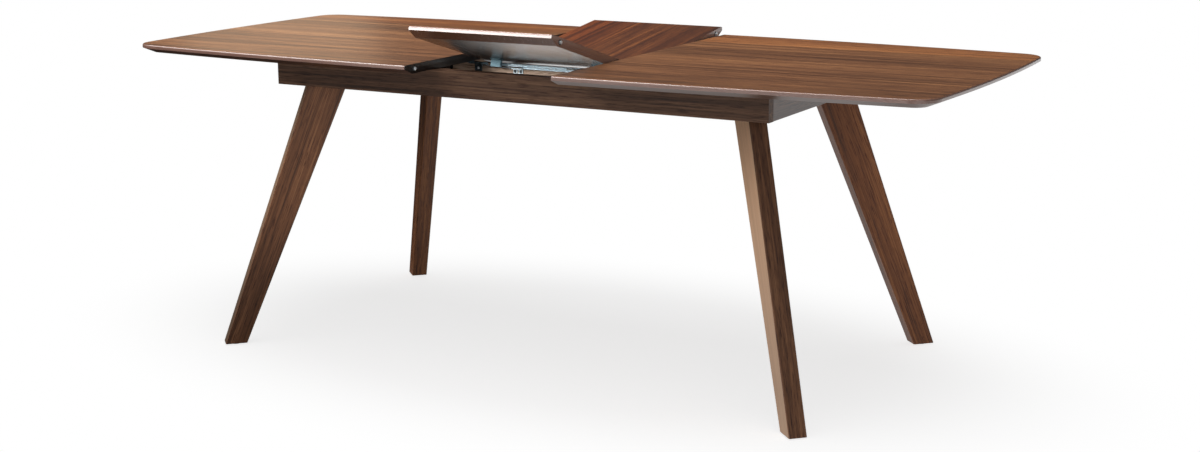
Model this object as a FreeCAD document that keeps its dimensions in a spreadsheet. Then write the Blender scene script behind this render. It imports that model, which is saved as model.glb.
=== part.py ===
import FreeCAD, Part
import os
import re

import Sketcher
from FreeCAD import Placement, Rotation, Vector

# Extending dining table with two sliding half tops and a folding leaf.
# The table is modelled half way through raising its leaf: the half tops are apart and the leaf stands
# in a shallow V between them. X runs along the table, Y across it (front is -Y), Z up from the floor.
# The origin lies on the floor under the middle of the table. Lengths are millimetres, angles degrees.

X_AXIS = Vector(1, 0, 0)
Z_AXIS = Vector(0, 0, 1)
LEFT, RIGHT = -1, 1
FRONT, REAR = -1, 1
CLOSENESS = 0.001
HEXAGON = 6
BALLS_IN_ROW = 8
SIDE_NAMES = {LEFT: "left", RIGHT: "right"}
ROW_NAMES = {FRONT: "front", REAR: "rear"}
FOOT_PLACES = {LEFT: "left_foot_place", RIGHT: "right_foot_place"}

SIZES = (
    # Half tops and leaf
    ("top_height", 750, "floor to the face of the tops"),
    ("top_thick", 22, "thickness of the tops and the leaf"),
    ("half_length", 875, "length of one half top on the centre line"),
    ("half_width", 450, "half the table's width at the split"),
    ("end_narrowing", 42, "how far each side bows in from the split to the end, before rounding"),
    ("end_crown", 16, "how far an end bulges past its corners"),
    ("corner_radius", 60, "plan radius of the top's corners"),
    ("edge_band", 9.5, "upright part of the outer edge"),
    ("edge_run", 30, "how far the undercut bevel runs in under the top"),
    ("edge_round", 4, "rounding of the upper arris"),
    ("opening", 391, "distance between the half tops as photographed"),
    ("top_gap", 1, "running gap between the aprons and the tops"),
    ("leaf_length", 380, "length of the leaf along the table"),
    ("leaf_seam", 0.5, "gap between the two leaf halves when flat"),
    ("far_tilt", 7.25, "tilt of the far leaf half as photographed"),
    ("near_tilt", 16.35, "tilt of the near leaf half as photographed"),
    # Alignment pins and their sockets
    ("pin_radius", 4, "alignment pin"),
    ("pin_out", 5, "how far a pin stands out of the face"),
    ("pin_in", 20, "how deep a pin sits in the wood"),
    ("pin_tip", 1.2, "length of the pin's tapered tip"),
    ("pin_edge", 40, "pin's distance in from the table's widest edge"),
    ("socket_radius", 6, "outside of a pin's socket"),
    ("socket_length", 14, "length of a socket"),
    ("socket_depth", 8, "depth of a socket's bore"),
    ("socket_gap", 0.4, "radial gap between pin and socket"),
    # Frame of four aprons
    ("frame_half_length", 664, "centre to the outer face of an end apron"),
    ("frame_half_width", 326, "centre to the outer face of a long apron"),
    ("apron_height", 65, "height of the aprons"),
    ("apron_thick", 25, "thickness of the aprons"),
    ("apron_round", 1.5, "rounding of the aprons' lower outer edges"),
    ("dowel_radius", 4, "apron dowel"),
    ("dowel_length", 36, "apron dowel"),
    ("dowel_edge", 15, "dowel's distance from the apron's edges"),
    # Legs, turned 45 degrees so that their depth points out of the corner
    ("foot_out_x", 107, "centre of a foot out from the frame, along the table"),
    ("foot_out_y", 84, "centre of a foot out from the frame, across the table"),
    ("leg_foot_depth", 54, "depth of a leg at the floor"),
    ("head_in_x", 84, "centre of a leg at the aprons' lower edge, in from the end apron's face"),
    ("head_in_y", 88, "centre of a leg at the aprons' lower edge, in from the long apron's face"),
    ("leg_head_depth", 98, "depth of a leg at the aprons' lower edge"),
    ("leg_width", 42, "width of a leg, the same all the way"),
    ("leg_rise", 29, "how far a leg reaches up inside the frame"),
    ("leg_edge", 2, "bevel on a leg's long edges"),
    ("glide_radius", 13, "foot glide"),
    ("glide_thick", 3, "foot glide"),
    ("block_lift", 2, "corner block's lower face above the aprons' lower edge"),
    ("bolt_radius", 4, "leg bolt"),
    ("bolt_hole_gap", 0.1, "radial gap round a leg bolt"),
    ("bolt_rise", 17, "leg bolts above the aprons' lower edge"),
    ("bolt_spacing", 21, "distance between a leg's two bolts"),
    ("bolt_recess", 14, "seat of the bolt heads in from the leg's inner face"),
    ("bolt_bite", 26, "how far a bolt goes into the corner block"),
    ("bolt_head_radius", 6.5, "leg bolt's hexagon head"),
    ("bolt_head_thick", 5.3, "leg bolt's hexagon head"),
    ("washer_radius", 8, "leg bolt's washer"),
    ("washer_thick", 1.6, "leg bolt's washer"),
    ("recess_radius", 9, "recess round a leg bolt's head"),
    # Lengthwise bearers and cross rails
    ("beam_thick", 24, "thickness of a bearer"),
    ("beam_height", 57, "aprons' upper edge to the bearers' lower edge"),
    ("front_beam_face", 138, "centre line to the front bearer's outer face"),
    ("rear_beam_face", 170, "centre line to the rear bearer's outer face"),
    ("front_beam_drop", 5, "front bearer's upper edge below the aprons'"),
    ("rear_notch", 17.5, "depth of the rear bearer's notch under the leaf"),
    ("notch_margin", 12, "notch beyond each end of the leaf"),
    ("tenon_length", 12, "bearer's tenon in an end apron"),
    ("tenon_thick", 12, "bearer's tenon in an end apron"),
    ("tenon_height", 36, "bearer's tenon in an end apron"),
    ("tenon_gap", 0.1, "gap round a tenon"),
    ("cross_place", 150, "centre of a cross rail, from the table's middle"),
    ("cross_thick", 20, "thickness of a cross rail"),
    ("cross_height", 20.5, "height of a cross rail"),
    ("pad_radius", 9, "felt rest pad under the leaf's seam"),
    ("pad_thick", 1.9, "felt rest pad under the leaf's seam"),
    ("pad_place", 14, "rest pad's distance behind the centre line"),
    # Telescopic slides and the cleats that hang on them
    ("slide_gap", 23, "slide's outer end to the end apron"),
    ("slide_start", 78, "slide's inner end past the leaf's end"),
    ("slide_height", 27, "height of a channel"),
    ("slide_depth", 12.7, "bearer's face to cleat's face"),
    ("slide_drop", 8, "aprons' upper edge down to the channel"),
    ("sheet_thick", 1.2, "sheet metal of the channels and runners"),
    ("flange_depth", 9.5, "flanges of a channel and of a runner"),
    ("ball_radius", 1.8, "slide ball"),
    ("ball_gap", 0.3, "gap between a ball and its tracks"),
    ("cage_thick", 0.8, "sheet of a ball cage"),
    ("cage_gap", 0.6, "gap between a ball cage and the channel's back"),
    ("cage_margin", 74, "ball cage's end in from the slide's end"),
    ("cage_end", 8, "end ball's distance from the cage's end"),
    ("cleat_thick", 20, "thickness of a cleat"),
    ("screw_radius", 1.9, "wood screw"),
    ("screw_head_radius", 3.6, "head of a wood screw"),
    ("screw_head_thick", 1.5, "head of a wood screw"),
    ("screw_bite", 12, "how deep a wood screw goes into the last piece"),
    ("screw_end", 34, "slide screw's distance from the slide's end"),
    # Grooved stop rail on the front bearer and the rods that run in it
    ("rail_left_end", 125, "middle of the table to the stop rail's left end"),
    ("rail_right_end", 168, "middle of the table to the stop rail's right end"),
    ("rail_depth", 11, "stop rail, out from the bearer"),
    ("rail_height", 10.5, "stop rail"),
    ("rail_drop", 2, "aprons' upper edge down to the stop rail"),
    ("groove_height", 3.6, "each of the stop rail's two grooves"),
    ("groove_depth", 5.2, "each of the stop rail's two grooves"),
    ("groove_edge", 1, "stop rail's lip above and below its grooves"),
    ("rod_height", 3, "stop rod"),
    ("rod_depth", 4, "stop rod"),
    ("rod_length", 132, "stop rod, from the outer side of its bracket's plate"),
    ("arm_height", 5, "stop bracket's upper arm"),
    ("arm_reach", 40, "stop bracket's upper arm, inwards from its foot"),
    ("bracket_width", 16, "stop bracket's foot"),
    ("plate_width", 20, "stop bracket's hanging plate"),
    ("plate_out", 20.7, "stop bracket's hanging plate, out of the split face"),
    ("bracket_height", 28, "stop bracket below the top"),
    ("bracket_thick", 2.5, "stop bracket"),
    ("bracket_foot", 22, "stop bracket's foot under the top"),
    ("bracket_inset", 1.5, "stop bracket's foot back from the split face"),
    ("bracket_gap", 1, "stop bracket in front of the stop rail"),
    ("slot_plate_width", 27, "slotted bracket"),
    ("slot_plate_height", 15, "slotted bracket below the stop rail"),
    ("slot_plate_thick", 2, "slotted bracket"),
    ("slot_plate_place", 79, "slotted bracket's centre from the table's middle"),
    ("slot_width", 3.4, "slot in the slotted bracket"),
    ("slot_height", 8, "slot in the slotted bracket"),
    ("slot_pitch", 8, "distance between the slots"),
    ("slot_rise", 3, "slots above the slotted bracket's lower edge"),
    ("slot_screw_radius", 1.5, "screw in a slotted bracket"),
    # Feet under the near leaf half, which come down in front of the stop rail
    ("left_foot_place", 126, "left foot's centre from the table's middle"),
    ("right_foot_place", 154, "right foot's centre from the table's middle"),
    ("foot_width", 28, "foot, along the table"),
    ("foot_height", 18, "foot's post below its flange"),
    ("foot_thick", 7, "foot's post, across the table"),
    ("foot_flange_thick", 2, "foot's flange under the leaf"),
    ("foot_flange_run", 14, "foot's flange past its post, on both sides together"),
    ("foot_gap", 4.6, "foot's post in front of the stop rail"),
    # Pivots of the far leaf half
    ("pivot_place", 281, "pivot axis behind the centre line"),
    ("pivot_drop", 15, "pivot axis below the leaf when flat"),
    ("pivot_half_span", 165, "pivot's distance from the table's middle"),
    ("pivot_radius", 4, "pivot pin"),
    ("pivot_fit", 0.05, "radial gap between the pivot pin and the leaf's ear"),
    ("pivot_head_radius", 6, "pivot pin's head"),
    ("pivot_head_thick", 2, "pivot pin's head"),
    ("ear_thick", 4, "leaf's pivot ear"),
    ("ear_radius", 8, "rounded end of the pivot ears"),
    ("ear_gap", 0.5, "gap beside the leaf's pivot ear"),
    ("fork_thick", 3, "ears and back plate of the fixed pivot bracket"),
    ("fork_rise", 11, "fixed bracket's back plate above the pivot axis"),
    ("fork_fall", 22, "fixed bracket's back plate below the pivot axis"),
    ("fork_half_width", 16, "half the width of the back plates"),
    ("ear_plate_thick", 2, "plate of the leaf's pivot ear"),
    ("ear_plate_half", 18, "half the length of the leaf's ear plate"),
    # Concealed hinges along the leaf's seam
    ("cup_radius", 8.5, "hinge cup"),
    ("cup_length", 20, "hinge cup"),
    ("cup_place", 130, "outer hinge cups' distance from the table's middle"),
    ("pocket_width", 6.6, "pocket in a hinge cup"),
    ("pocket_length", 12, "pocket in a hinge cup"),
    ("pocket_above", 4, "pocket above the cup's middle"),
    ("pocket_below", 6.8, "pocket below the cup's middle"),
    ("link_width", 6, "hinge link"),
    ("link_half_length", 8.5, "half the length of a hinge link"),
    ("link_half_height", 2.5, "half the height of a hinge link"),
    ("overrun", 4, "how far cutting tools reach past the faces that they cut"),
)

# Lengths and places that follow from the sizes above
DERIVED = {
    "underside": "top_height - top_thick",
    "mid_height": "top_height - top_thick / 2",
    "split": "opening / 2",
    "end_half_width": "half_width - end_narrowing",
    "pin_place": "half_width - pin_edge",
    "leaf_end": "leaf_length / 2",
    "seam_edge": "leaf_seam / 2",
    "fold_height": "top_height + leaf_seam / 2",
    "apron_top": "underside - top_gap",
    "apron_bottom": "apron_top - apron_height",
    "frame_inner_length": "frame_half_length - apron_thick",
    "frame_inner_width": "frame_half_width - apron_thick",
    "leg_foot_x": "frame_half_length + foot_out_x",
    "leg_foot_y": "frame_half_width + foot_out_y",
    "leg_head_x": "frame_half_length - head_in_x",
    "leg_head_y": "frame_half_width - head_in_y",
    "leg_top": "apron_bottom + leg_rise",
    "bolt_height": "apron_bottom + bolt_rise",
    "beam_bottom": "apron_top - beam_height",
    "beam_middle": "apron_top - beam_height / 2",
    "cross_top": "beam_bottom + cross_height",
    "notch_half": "leaf_end + notch_margin",
    "slide_top": "apron_top - slide_drop",
    "slide_bottom": "slide_top - slide_height",
    "slide_middle": "slide_top - slide_height / 2",
    "slide_inner_end": "leaf_end + slide_start",
    "slide_length": "frame_inner_length - slide_gap - slide_inner_end",
    "cage_length": "slide_length - 2 * cage_margin",
    "slide_centre": "slide_inner_end + slide_length / 2",
    "ball_band": "2 * ball_radius + 2 * ball_gap",
    "rail_top": "apron_top - rail_drop",
    "rail_bottom": "rail_top - rail_height",
    "rail_face": "front_beam_face + rail_depth",
    "pivot_height": "underside - pivot_drop",
    "socket_bore": "pin_radius + socket_gap",
}

doc = FreeCAD.newDocument("extending_table")
sheet = doc.addObject("Spreadsheet::Sheet", "size")
for row, (alias, number, meaning) in enumerate(SIZES, start=1):
    sheet.set("A%d" % row, meaning)
    sheet.set("B%d" % row, str(number))
    sheet.setAlias("B%d" % row, alias)
doc.recompute()

SIZE_NAMES = {alias for alias, number, meaning in SIZES}
pieces = []


def formula(text):
    """Write an expression with each size name as its cell, and each derived name worked out."""
    def swap(match):
        word = match.group()
        if word in DERIVED:
            return "(" + formula(DERIVED[word]) + ")"
        return "size." + word if word in SIZE_NAMES else word
    return re.sub(r"[a-z][a-z_]+", swap, text)


def value(text):
    """Work an expression out as a number."""
    return float(sheet.evalExpression(formula(text)))


def spread(sign, low, high):
    """Give a range on one side of the middle, lowest first."""
    if sign > 0:
        return low, high
    return "-(%s)" % high, "-(%s)" % low


def about(centre, half):
    """Give a range that reaches the same distance to both sides of a centre."""
    return "(%s) - (%s)" % (centre, half), "(%s) + (%s)" % (centre, half)


def signed(sign, text):
    return text if sign > 0 else "-(%s)" % text


def keep(part, label):
    """Register a finished piece under the name that its file gets."""
    part.Label = label
    pieces.append(part)
    return part


def place_by(part, places):
    for axis, text in zip("xyz", places):
        part.setExpression("Placement.Base." + axis, formula(text))


def block(name, xs, ys, zs):
    box = doc.addObject("Part::Box", name)
    for side, (low, high) in zip(("Length", "Width", "Height"), (xs, ys, zs)):
        box.setExpression(side, formula("(%s) - (%s)" % (high, low)))
    place_by(box, (xs[0], ys[0], zs[0]))
    return box


def cylinder(name, start, direction, length, radius):
    bar = doc.addObject("Part::Cylinder", name)
    bar.Placement = Placement(Vector(), Rotation(Z_AXIS, direction))
    bar.setExpression("Radius", formula(radius))
    bar.setExpression("Height", formula(length))
    place_by(bar, start)
    return bar


def cone(name, start, direction, length, first_radius, last_radius):
    taper = doc.addObject("Part::Cone", name)
    taper.Placement = Placement(Vector(), Rotation(Z_AXIS, direction))
    taper.setExpression("Radius1", formula(first_radius))
    taper.setExpression("Radius2", formula(last_radius))
    taper.setExpression("Height", formula(length))
    place_by(taper, start)
    return taper


def fuse(name, shapes):
    joined = doc.addObject("Part::MultiFuse", name)
    joined.Shapes = shapes
    return joined


def group(name, shapes):
    together = doc.addObject("Part::Compound", name)
    together.Links = shapes
    return together


def cut(name, base, tools):
    """Take separate tools out of a base."""
    remainder = doc.addObject("Part::Cut", name)
    remainder.Base = base
    remainder.Tool = tools[0] if len(tools) == 1 else group(name + "_tools", tools)
    return remainder


def along(start, direction, text):
    """Move a start point by a length along a direction of unit or diagonal components."""
    norm = "sqrt(%d)" % round(direction.Length ** 2)
    return tuple("(%s) + (%d) * (%s) / %s" % (place, step, text, norm)
                 for place, step in zip(start, direction))


def wood_screw(name, start, direction, length):
    """A screw with a low cylindrical head, which starts at the face that the head lies on."""
    head = cylinder(name + "_head", start, direction * -1, "screw_head_thick", "screw_head_radius")
    shank = cylinder(name + "_shank", start, direction, length, "screw_radius")
    return fuse(name, [head, shank])


def flush_screw(name, start, direction, length):
    """A countersunk screw, which starts at the face that its head is flush with."""
    sink = "screw_head_radius - screw_radius"
    head = cone(name + "_head", start, direction, sink, "screw_head_radius", "screw_radius")
    shank = cylinder(name + "_shank", along(start, direction, sink), direction,
                     "(%s) - (%s)" % (length, sink), "screw_radius")
    return fuse(name, [head, shank])


def flat_sketch(body, name, role, offset):
    """A sketch on one of the body's own origin planes, moved along the plane's normal."""
    sketch = body.newObject("Sketcher::SketchObject", name)
    plane = next(item for item in body.Origin.OriginFeatures if item.Role == role)
    sketch.AttachmentSupport = (plane, [""])
    sketch.MapMode = "FlatFace"
    sketch.setExpression("AttachmentOffset.Base.z", formula(offset))
    return sketch


def pin_point(sketch, edge, end, x_text, y_text):
    """Hold one end of a sketch edge at a place given by two expressions."""
    for kind, text in (("DistanceX", x_text), ("DistanceY", y_text)):
        if text is None:
            continue
        number = sketch.addConstraint(Sketcher.Constraint(kind, -1, 1, edge, end, value(text)))
        sketch.setExpression("Constraints[%d]" % number, formula(text))


def polygon(body, name, role, offset, corners):
    """A closed outline of straight edges whose corners are pairs of expressions."""
    sketch = flat_sketch(body, name, role, offset)
    points = [Vector(value(x_text), value(y_text), 0) for x_text, y_text in corners]
    for index, point in enumerate(points):
        sketch.addGeometry(Part.LineSegment(point, points[(index + 1) % len(points)]), False)
    for index in range(len(points)):
        following = (index + 1) % len(points)
        sketch.addConstraint(Sketcher.Constraint("Coincident", index, 2, following, 1))
    for index, (x_text, y_text) in enumerate(corners):
        pin_point(sketch, index, 1, x_text, y_text)
    return sketch


def pad(body, sketch, length):
    feature = body.newObject("PartDesign::Pad", body.Name + "_pad")
    feature.Profile = sketch
    feature.setExpression("Length", formula(length))
    doc.recompute()


def loft(body, lower, upper):
    """Join two outlines of one body with straight-ruled faces."""
    feature = body.newObject("PartDesign::AdditiveLoft", body.Name + "_loft")
    feature.Profile = lower
    feature.Sections = [upper]
    feature.Ruled = True
    doc.recompute()


def edges_where(feature, test):
    """Names of the feature's edges that pass a test on their bounding box."""
    return ["Edge%d" % number for number, edge in enumerate(feature.Shape.Edges, start=1)
            if test(edge.BoundBox)]


def round_edges(body, name, radius, test):
    feature = body.Tip
    fillet = body.newObject("PartDesign::Fillet", name)
    fillet.Base = (feature, edges_where(feature, test))
    fillet.setExpression("Radius", formula(radius))
    doc.recompute()


def near(first, second):
    return abs(first - second) < CLOSENESS


def extrusion(name, role, offset, length, corners):
    """A body with one outline padded along the normal of an origin plane."""
    body = doc.addObject("PartDesign::Body", name)
    pad(body, polygon(body, name + "_outline", role, offset, corners), length)
    return body


def rectangle(xs, ys):
    return [(xs[0], ys[0]), (xs[1], ys[0]), (xs[1], ys[1]), (xs[0], ys[1])]


def long_apron(row):
    """Front or rear apron, which runs the full length and covers the end aprons' ends."""
    name = ROW_NAMES[row] + "_apron"
    ys = spread(row, "frame_inner_width", "frame_half_width")
    outline = rectangle(("-frame_half_length", "frame_half_length"), ys)
    body = extrusion(name + "_board", "XY_Plane", "apron_bottom", "apron_height", outline)
    outer, low = value(signed(row, "frame_half_width")), value("apron_bottom")
    round_edges(body, name + "_soft", "apron_round",
                lambda box: near(box.YMin, outer) and near(box.YMax, outer) and near(box.ZMax, low))
    keep(cut(name + "_piece", body, dowels[row] + (fork_screws if row == REAR else [])), name)


def end_apron(side):
    """Left or right end apron, mortised for the bearers and dowelled into the long aprons."""
    name = SIDE_NAMES[side] + "_end_apron"
    xs = spread(side, "frame_inner_length", "frame_half_length")
    outline = rectangle(xs, ("-frame_inner_width", "frame_inner_width"))
    body = extrusion(name + "_board", "XY_Plane", "apron_bottom", "apron_height", outline)
    outer, low = value(signed(side, "frame_half_length")), value("apron_bottom")
    round_edges(body, name + "_soft", "apron_round",
                lambda box: near(box.XMin, outer) and near(box.XMax, outer) and near(box.ZMax, low))
    mortises = [tenon(name + "_mortise_" + ROW_NAMES[row], side, row, "tenon_gap") for row in (FRONT, REAR)]
    own_dowels = [dowel for row in (FRONT, REAR) for dowel in dowels[row] if dowel.Name.startswith(
        SIDE_NAMES[side])]
    keep(cut(name + "_piece", body, mortises + own_dowels), name)


def apron_dowel(side, row, level):
    """A dowel across the butt joint between a long apron and an end apron."""
    name = "%s_%s_dowel_%s" % (SIDE_NAMES[side], ROW_NAMES[row], level)
    height = {"low": "apron_bottom + dowel_edge", "high": "apron_top - dowel_edge"}[level]
    start = (signed(side, "frame_half_length - apron_thick / 2"),
             signed(row, "frame_inner_width - dowel_length / 2"), height)
    return cylinder(name, start, Vector(0, row, 0), "dowel_length", "dowel_radius")


def beam_span(row):
    face = {FRONT: "front_beam_face", REAR: "rear_beam_face"}[row]
    return spread(row, face + " - beam_thick", face)


def tenon(name, side, row, gap):
    ys = beam_span(row)
    middle = "((%s) + (%s)) / 2" % ys
    xs = spread(side, "frame_inner_length", "frame_inner_length + tenon_length + %s" % gap)
    return block(name, xs, about(middle, "tenon_thick / 2 + %s" % gap),
                 about("beam_middle", "tenon_height / 2 + %s" % gap))


def beam(row):
    """A lengthwise bearer, tenoned into the end aprons; the rear one is notched under the leaf."""
    name = ROW_NAMES[row] + "_beam"
    ys = beam_span(row)
    corners = rectangle(("-frame_inner_length", "frame_inner_length"),
                        ("beam_bottom", "apron_top - front_beam_drop" if row == FRONT else "apron_top"))
    if row == REAR:
        corners[3:3] = [("notch_half", "apron_top"), ("notch_half", "apron_top - rear_notch"),
                        ("-notch_half", "apron_top - rear_notch"), ("-notch_half", "apron_top")]
    body = extrusion(name + "_board", "XZ_Plane", "-(%s)" % ys[1], "beam_thick", corners)
    tenons = [tenon("%s_tenon_%s" % (name, SIDE_NAMES[side]), side, row, "0")
              for side in (LEFT, RIGHT)]
    whole = fuse(name + "_whole", [body] + tenons)
    screws = channel_screws[row] + cross_screws[row] + (slot_screws if row == FRONT else [])
    keep(cut(name + "_piece", whole, screws), name)


def cross_rail(side):
    """A cross rail between the bearers, which keeps them apart and stops the leaf's seam."""
    name = SIDE_NAMES[side] + "_cross_rail"
    body = block(name + "_board", about(signed(side, "cross_place"), "cross_thick / 2"),
                 (beam_span(FRONT)[1], beam_span(REAR)[0]), ("beam_bottom", "cross_top"))
    own = [screw for row in (FRONT, REAR) for screw in cross_screws[row]
           if screw.Name.startswith(SIDE_NAMES[side])]
    return cut(name, body, own)


def cross_screw(side, row):
    """A flush screw through a bearer into the end of a cross rail."""
    name = "%s_%s_cross_screw" % (SIDE_NAMES[side], ROW_NAMES[row])
    face = beam_span(row)[0 if row == FRONT else 1]
    start = (signed(side, "cross_place"), face, "beam_bottom + cross_height / 2")
    return flush_screw(name, start, Vector(0, -row, 0), "beam_thick + 2 * screw_bite")


def leg_centre(height):
    """Centre and half depth of a leg at a height, for the leg at the +X +Y corner."""
    share = "(%s) / (apron_bottom)" % height
    return ("(leg_foot_x + (leg_head_x - leg_foot_x) * %s)" % share,
            "(leg_foot_y + (leg_head_y - leg_foot_y) * %s)" % share,
            "((leg_foot_depth + (leg_head_depth - leg_foot_depth) * %s) / 2)" % share)


def corner_point(side, row, height, outward, sideways):
    """A point beside a leg's centre, given along the corner's diagonal and across it."""
    centre_x, centre_y, half = leg_centre(height)
    across, out = "(%s)" % sideways, "(%s)" % outward.replace("half_depth", half)
    return (signed(side, "%s + (%s - %s) / sqrt(2)" % (centre_x, out, across)),
            signed(row, "%s + (%s + %s) / sqrt(2)" % (centre_y, out, across)))


def leg_section(side, row, height):
    """Plan of a leg at a height: a rectangle with its corners taken off."""
    deep, wide = "half_depth", "leg_width / 2"
    less_deep, less_wide = "(half_depth - leg_edge)", "(leg_width / 2 - leg_edge)"
    corners = ((deep, less_wide), (deep, "-" + less_wide), (less_deep, "-" + wide),
               ("-" + less_deep, "-" + wide), ("-" + deep, "-" + less_wide), ("-" + deep, less_wide),
               ("-" + less_deep, wide), (less_deep, wide))
    return [corner_point(side, row, height, outward, sideways) for outward, sideways in corners]


def block_section(side, row, height):
    """Triangle between the inner faces of two aprons and the outer face of the leg."""
    centre_x, centre_y, half = leg_centre(height)
    reach = "(frame_inner_length - %s + frame_inner_width - %s - sqrt(2) * %s)" % (centre_x, centre_y, half)
    return [(signed(side, "frame_inner_length"), signed(row, "frame_inner_width")),
            (signed(side, "frame_inner_length - " + reach), signed(row, "frame_inner_width")),
            (signed(side, "frame_inner_length"), signed(row, "frame_inner_width - " + reach))]


def lofted(name, low, high, section):
    """A body between the outlines that a section function gives at two heights."""
    body = doc.addObject("PartDesign::Body", name)
    loft(body, polygon(body, name + "_lower", "XY_Plane", low, section(low)),
         polygon(body, name + "_upper", "XY_Plane", high, section(high)))
    return body


def leg_bolt(side, row, hand):
    """One leg bolt with its washer, and the stepped hole that it goes through."""
    name = "%s_%s_bolt_%s" % (ROW_NAMES[row], SIDE_NAMES[side], "a" if hand < 0 else "b")
    direction = Vector(side, row, 0)
    sideways = "%d * bolt_spacing / 2" % hand
    seat = corner_point(side, row, "bolt_height", "bolt_recess - half_depth", sideways) + ("bolt_height",)
    half = leg_centre("bolt_height")[2]
    length = "2 * %s - bolt_recess + bolt_bite" % half
    under_head = along(seat, direction, "-washer_thick")
    shank = cylinder(name + "_shank", under_head, direction, "washer_thick + " + length, "bolt_radius")
    head = doc.addObject("Part::Prism", name + "_head")
    head.Polygon = HEXAGON
    head.Placement = Placement(Vector(), Rotation(Z_AXIS, direction))
    head.setExpression("Circumradius", formula("bolt_head_radius / cos(180 deg / %d)" % HEXAGON))
    head.setExpression("Height", formula("bolt_head_thick"))
    place_by(head, along(under_head, direction, "-bolt_head_thick"))
    disc = cylinder(name + "_disc", under_head, direction, "washer_thick", "washer_radius")
    bore = cylinder(name + "_bore", along(under_head, direction, "-overrun"), direction,
                    "washer_thick + 2 * overrun", "bolt_radius + bolt_hole_gap")
    hole = cylinder(name + "_hole", seat, direction, length, "bolt_radius + bolt_hole_gap")
    recess = cylinder(name + "_recess", along(seat, direction, "-(%s)" % half), direction, half,
                      "recess_radius")
    return fuse(name, [head, shank]), cut(name + "_washer", disc, [bore]), fuse(name + "_way", [recess, hole])


def leg_corner(side, row):
    """A leg, its corner block, its two bolts with washers, and the glide under its foot."""
    place = "%s_%s" % (ROW_NAMES[row], SIDE_NAMES[side])
    wood = lofted(place + "_leg_wood", "glide_thick", "leg_top",
                  lambda height: leg_section(side, row, height))
    corner = lofted(place + "_block_wood", "apron_bottom + block_lift", "leg_top",
                    lambda height: block_section(side, row, height))
    bolts, washers, ways = zip(*[leg_bolt(side, row, hand) for hand in (LEFT, RIGHT)])
    keep(cut(place + "_leg_piece", wood, list(ways)), place + "_leg")
    corner_block = cut(place + "_corner_block", corner, list(ways))
    glide = cylinder(place + "_glide", corner_point(side, row, "glide_thick", "0", "0") + ("0",), Z_AXIS,
                     "glide_thick", "glide_radius")
    return corner_block, bolts + washers, glide


def slide_face(row):
    return {FRONT: "front_beam_face", REAR: "rear_beam_face"}[row]


def slide_profile(row, pairs):
    """Outline of a slide member: pairs of depth out from the bearer and height."""
    return [(signed(row, "%s + %s" % (slide_face(row), depth)), height) for depth, height in pairs]


def slide_part(name, side, row, centre, length, pairs):
    start = "(%s) - (%s) / 2" % (signed(side, centre), length)
    return extrusion(name, "YZ_Plane", start, length, slide_profile(row, pairs))


def channel(side, row):
    """Fixed channel of a slide, screwed to the bearer."""
    name = "%s_%s_slide_channel" % (SIDE_NAMES[side], ROW_NAMES[row])
    low, high, sheet_in = "slide_bottom", "slide_top", "sheet_thick"
    body = slide_part(name + "_steel", side, row, "slide_centre", "slide_length", [
        ("0", low), ("flange_depth", low), ("flange_depth", low + " + " + sheet_in),
        (sheet_in, low + " + " + sheet_in), (sheet_in, high + " - " + sheet_in),
        ("flange_depth", high + " - " + sheet_in), ("flange_depth", high), ("0", high)])
    own = [screw for screw in channel_screws[row] if screw.Name.startswith(SIDE_NAMES[side])]
    return cut(name, body, own)


def runner(side, row):
    """Sliding member, whose back is screwed to the cleat and whose flanges run inside the channel."""
    name = "%s_%s_slide_runner" % (SIDE_NAMES[side], ROW_NAMES[row])
    low, high = "slide_bottom + sheet_thick + ball_band", "slide_top - sheet_thick - ball_band"
    back, inner, tip = "slide_depth", "slide_depth - sheet_thick", "slide_depth - flange_depth"
    body = slide_part(name + "_steel", side, row, "slide_centre", "slide_length", [
        (back, low), (back, high), (tip, high), (tip, high + " - sheet_thick"),
        (inner, high + " - sheet_thick"), (inner, low + " + sheet_thick"),
        (tip, low + " + sheet_thick"), (tip, low)])
    own = [screw for screw in runner_screws[side] if ROW_NAMES[row] in screw.Name]
    keep(cut(name + "_piece", body, own), name)


def ball_places(side, row, half_length):
    """Centres of a cage's balls: evenly spaced, in an upper and a lower row."""
    depth = signed(row, "%s + slide_depth / 2" % slide_face(row))
    heights = ("slide_bottom + sheet_thick + ball_band / 2", "slide_top - sheet_thick - ball_band / 2")
    shares = [2 * index / (BALLS_IN_ROW - 1) - 1 for index in range(BALLS_IN_ROW)]
    return [("(%s) + (%s) * (%.6f)" % (signed(side, "slide_centre"), half_length, share), depth, height)
            for height in heights for share in shares]


def ball_cage(side, row):
    """Thin cage that keeps two rows of balls apart, and its balls."""
    name = "%s_%s_ball_cage" % (SIDE_NAMES[side], ROW_NAMES[row])
    low = "(slide_bottom + sheet_thick + ball_band / 2 - cage_thick / 2)"
    high = "(slide_top - sheet_thick - ball_band / 2 + cage_thick / 2)"
    back, front, tip = "sheet_thick + cage_gap", "sheet_thick + cage_gap + cage_thick", "flange_depth"
    body = slide_part(name + "_strip", side, row, "slide_centre", "cage_length", [
        (back, low), (tip, low), (tip, low + " + cage_thick"), (front, low + " + cage_thick"),
        (front, high + " - cage_thick"), (tip, high + " - cage_thick"), (tip, high), (back, high)])
    balls, holes = [], []
    for number, place in enumerate(ball_places(side, row, "cage_length / 2 - cage_end")):
        ball = doc.addObject("Part::Sphere", "%s_ball_%d" % (name, number))
        ball.setExpression("Radius", formula("ball_radius"))
        place_by(ball, place)
        balls.append(ball)
        start = (place[0], place[1], "(%s) - cage_thick" % place[2])
        holes.append(cylinder("%s_hole_%d" % (name, number), start, Z_AXIS, "2 * cage_thick",
                              "ball_radius + ball_gap"))
    return cut(name, body, holes), balls


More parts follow.
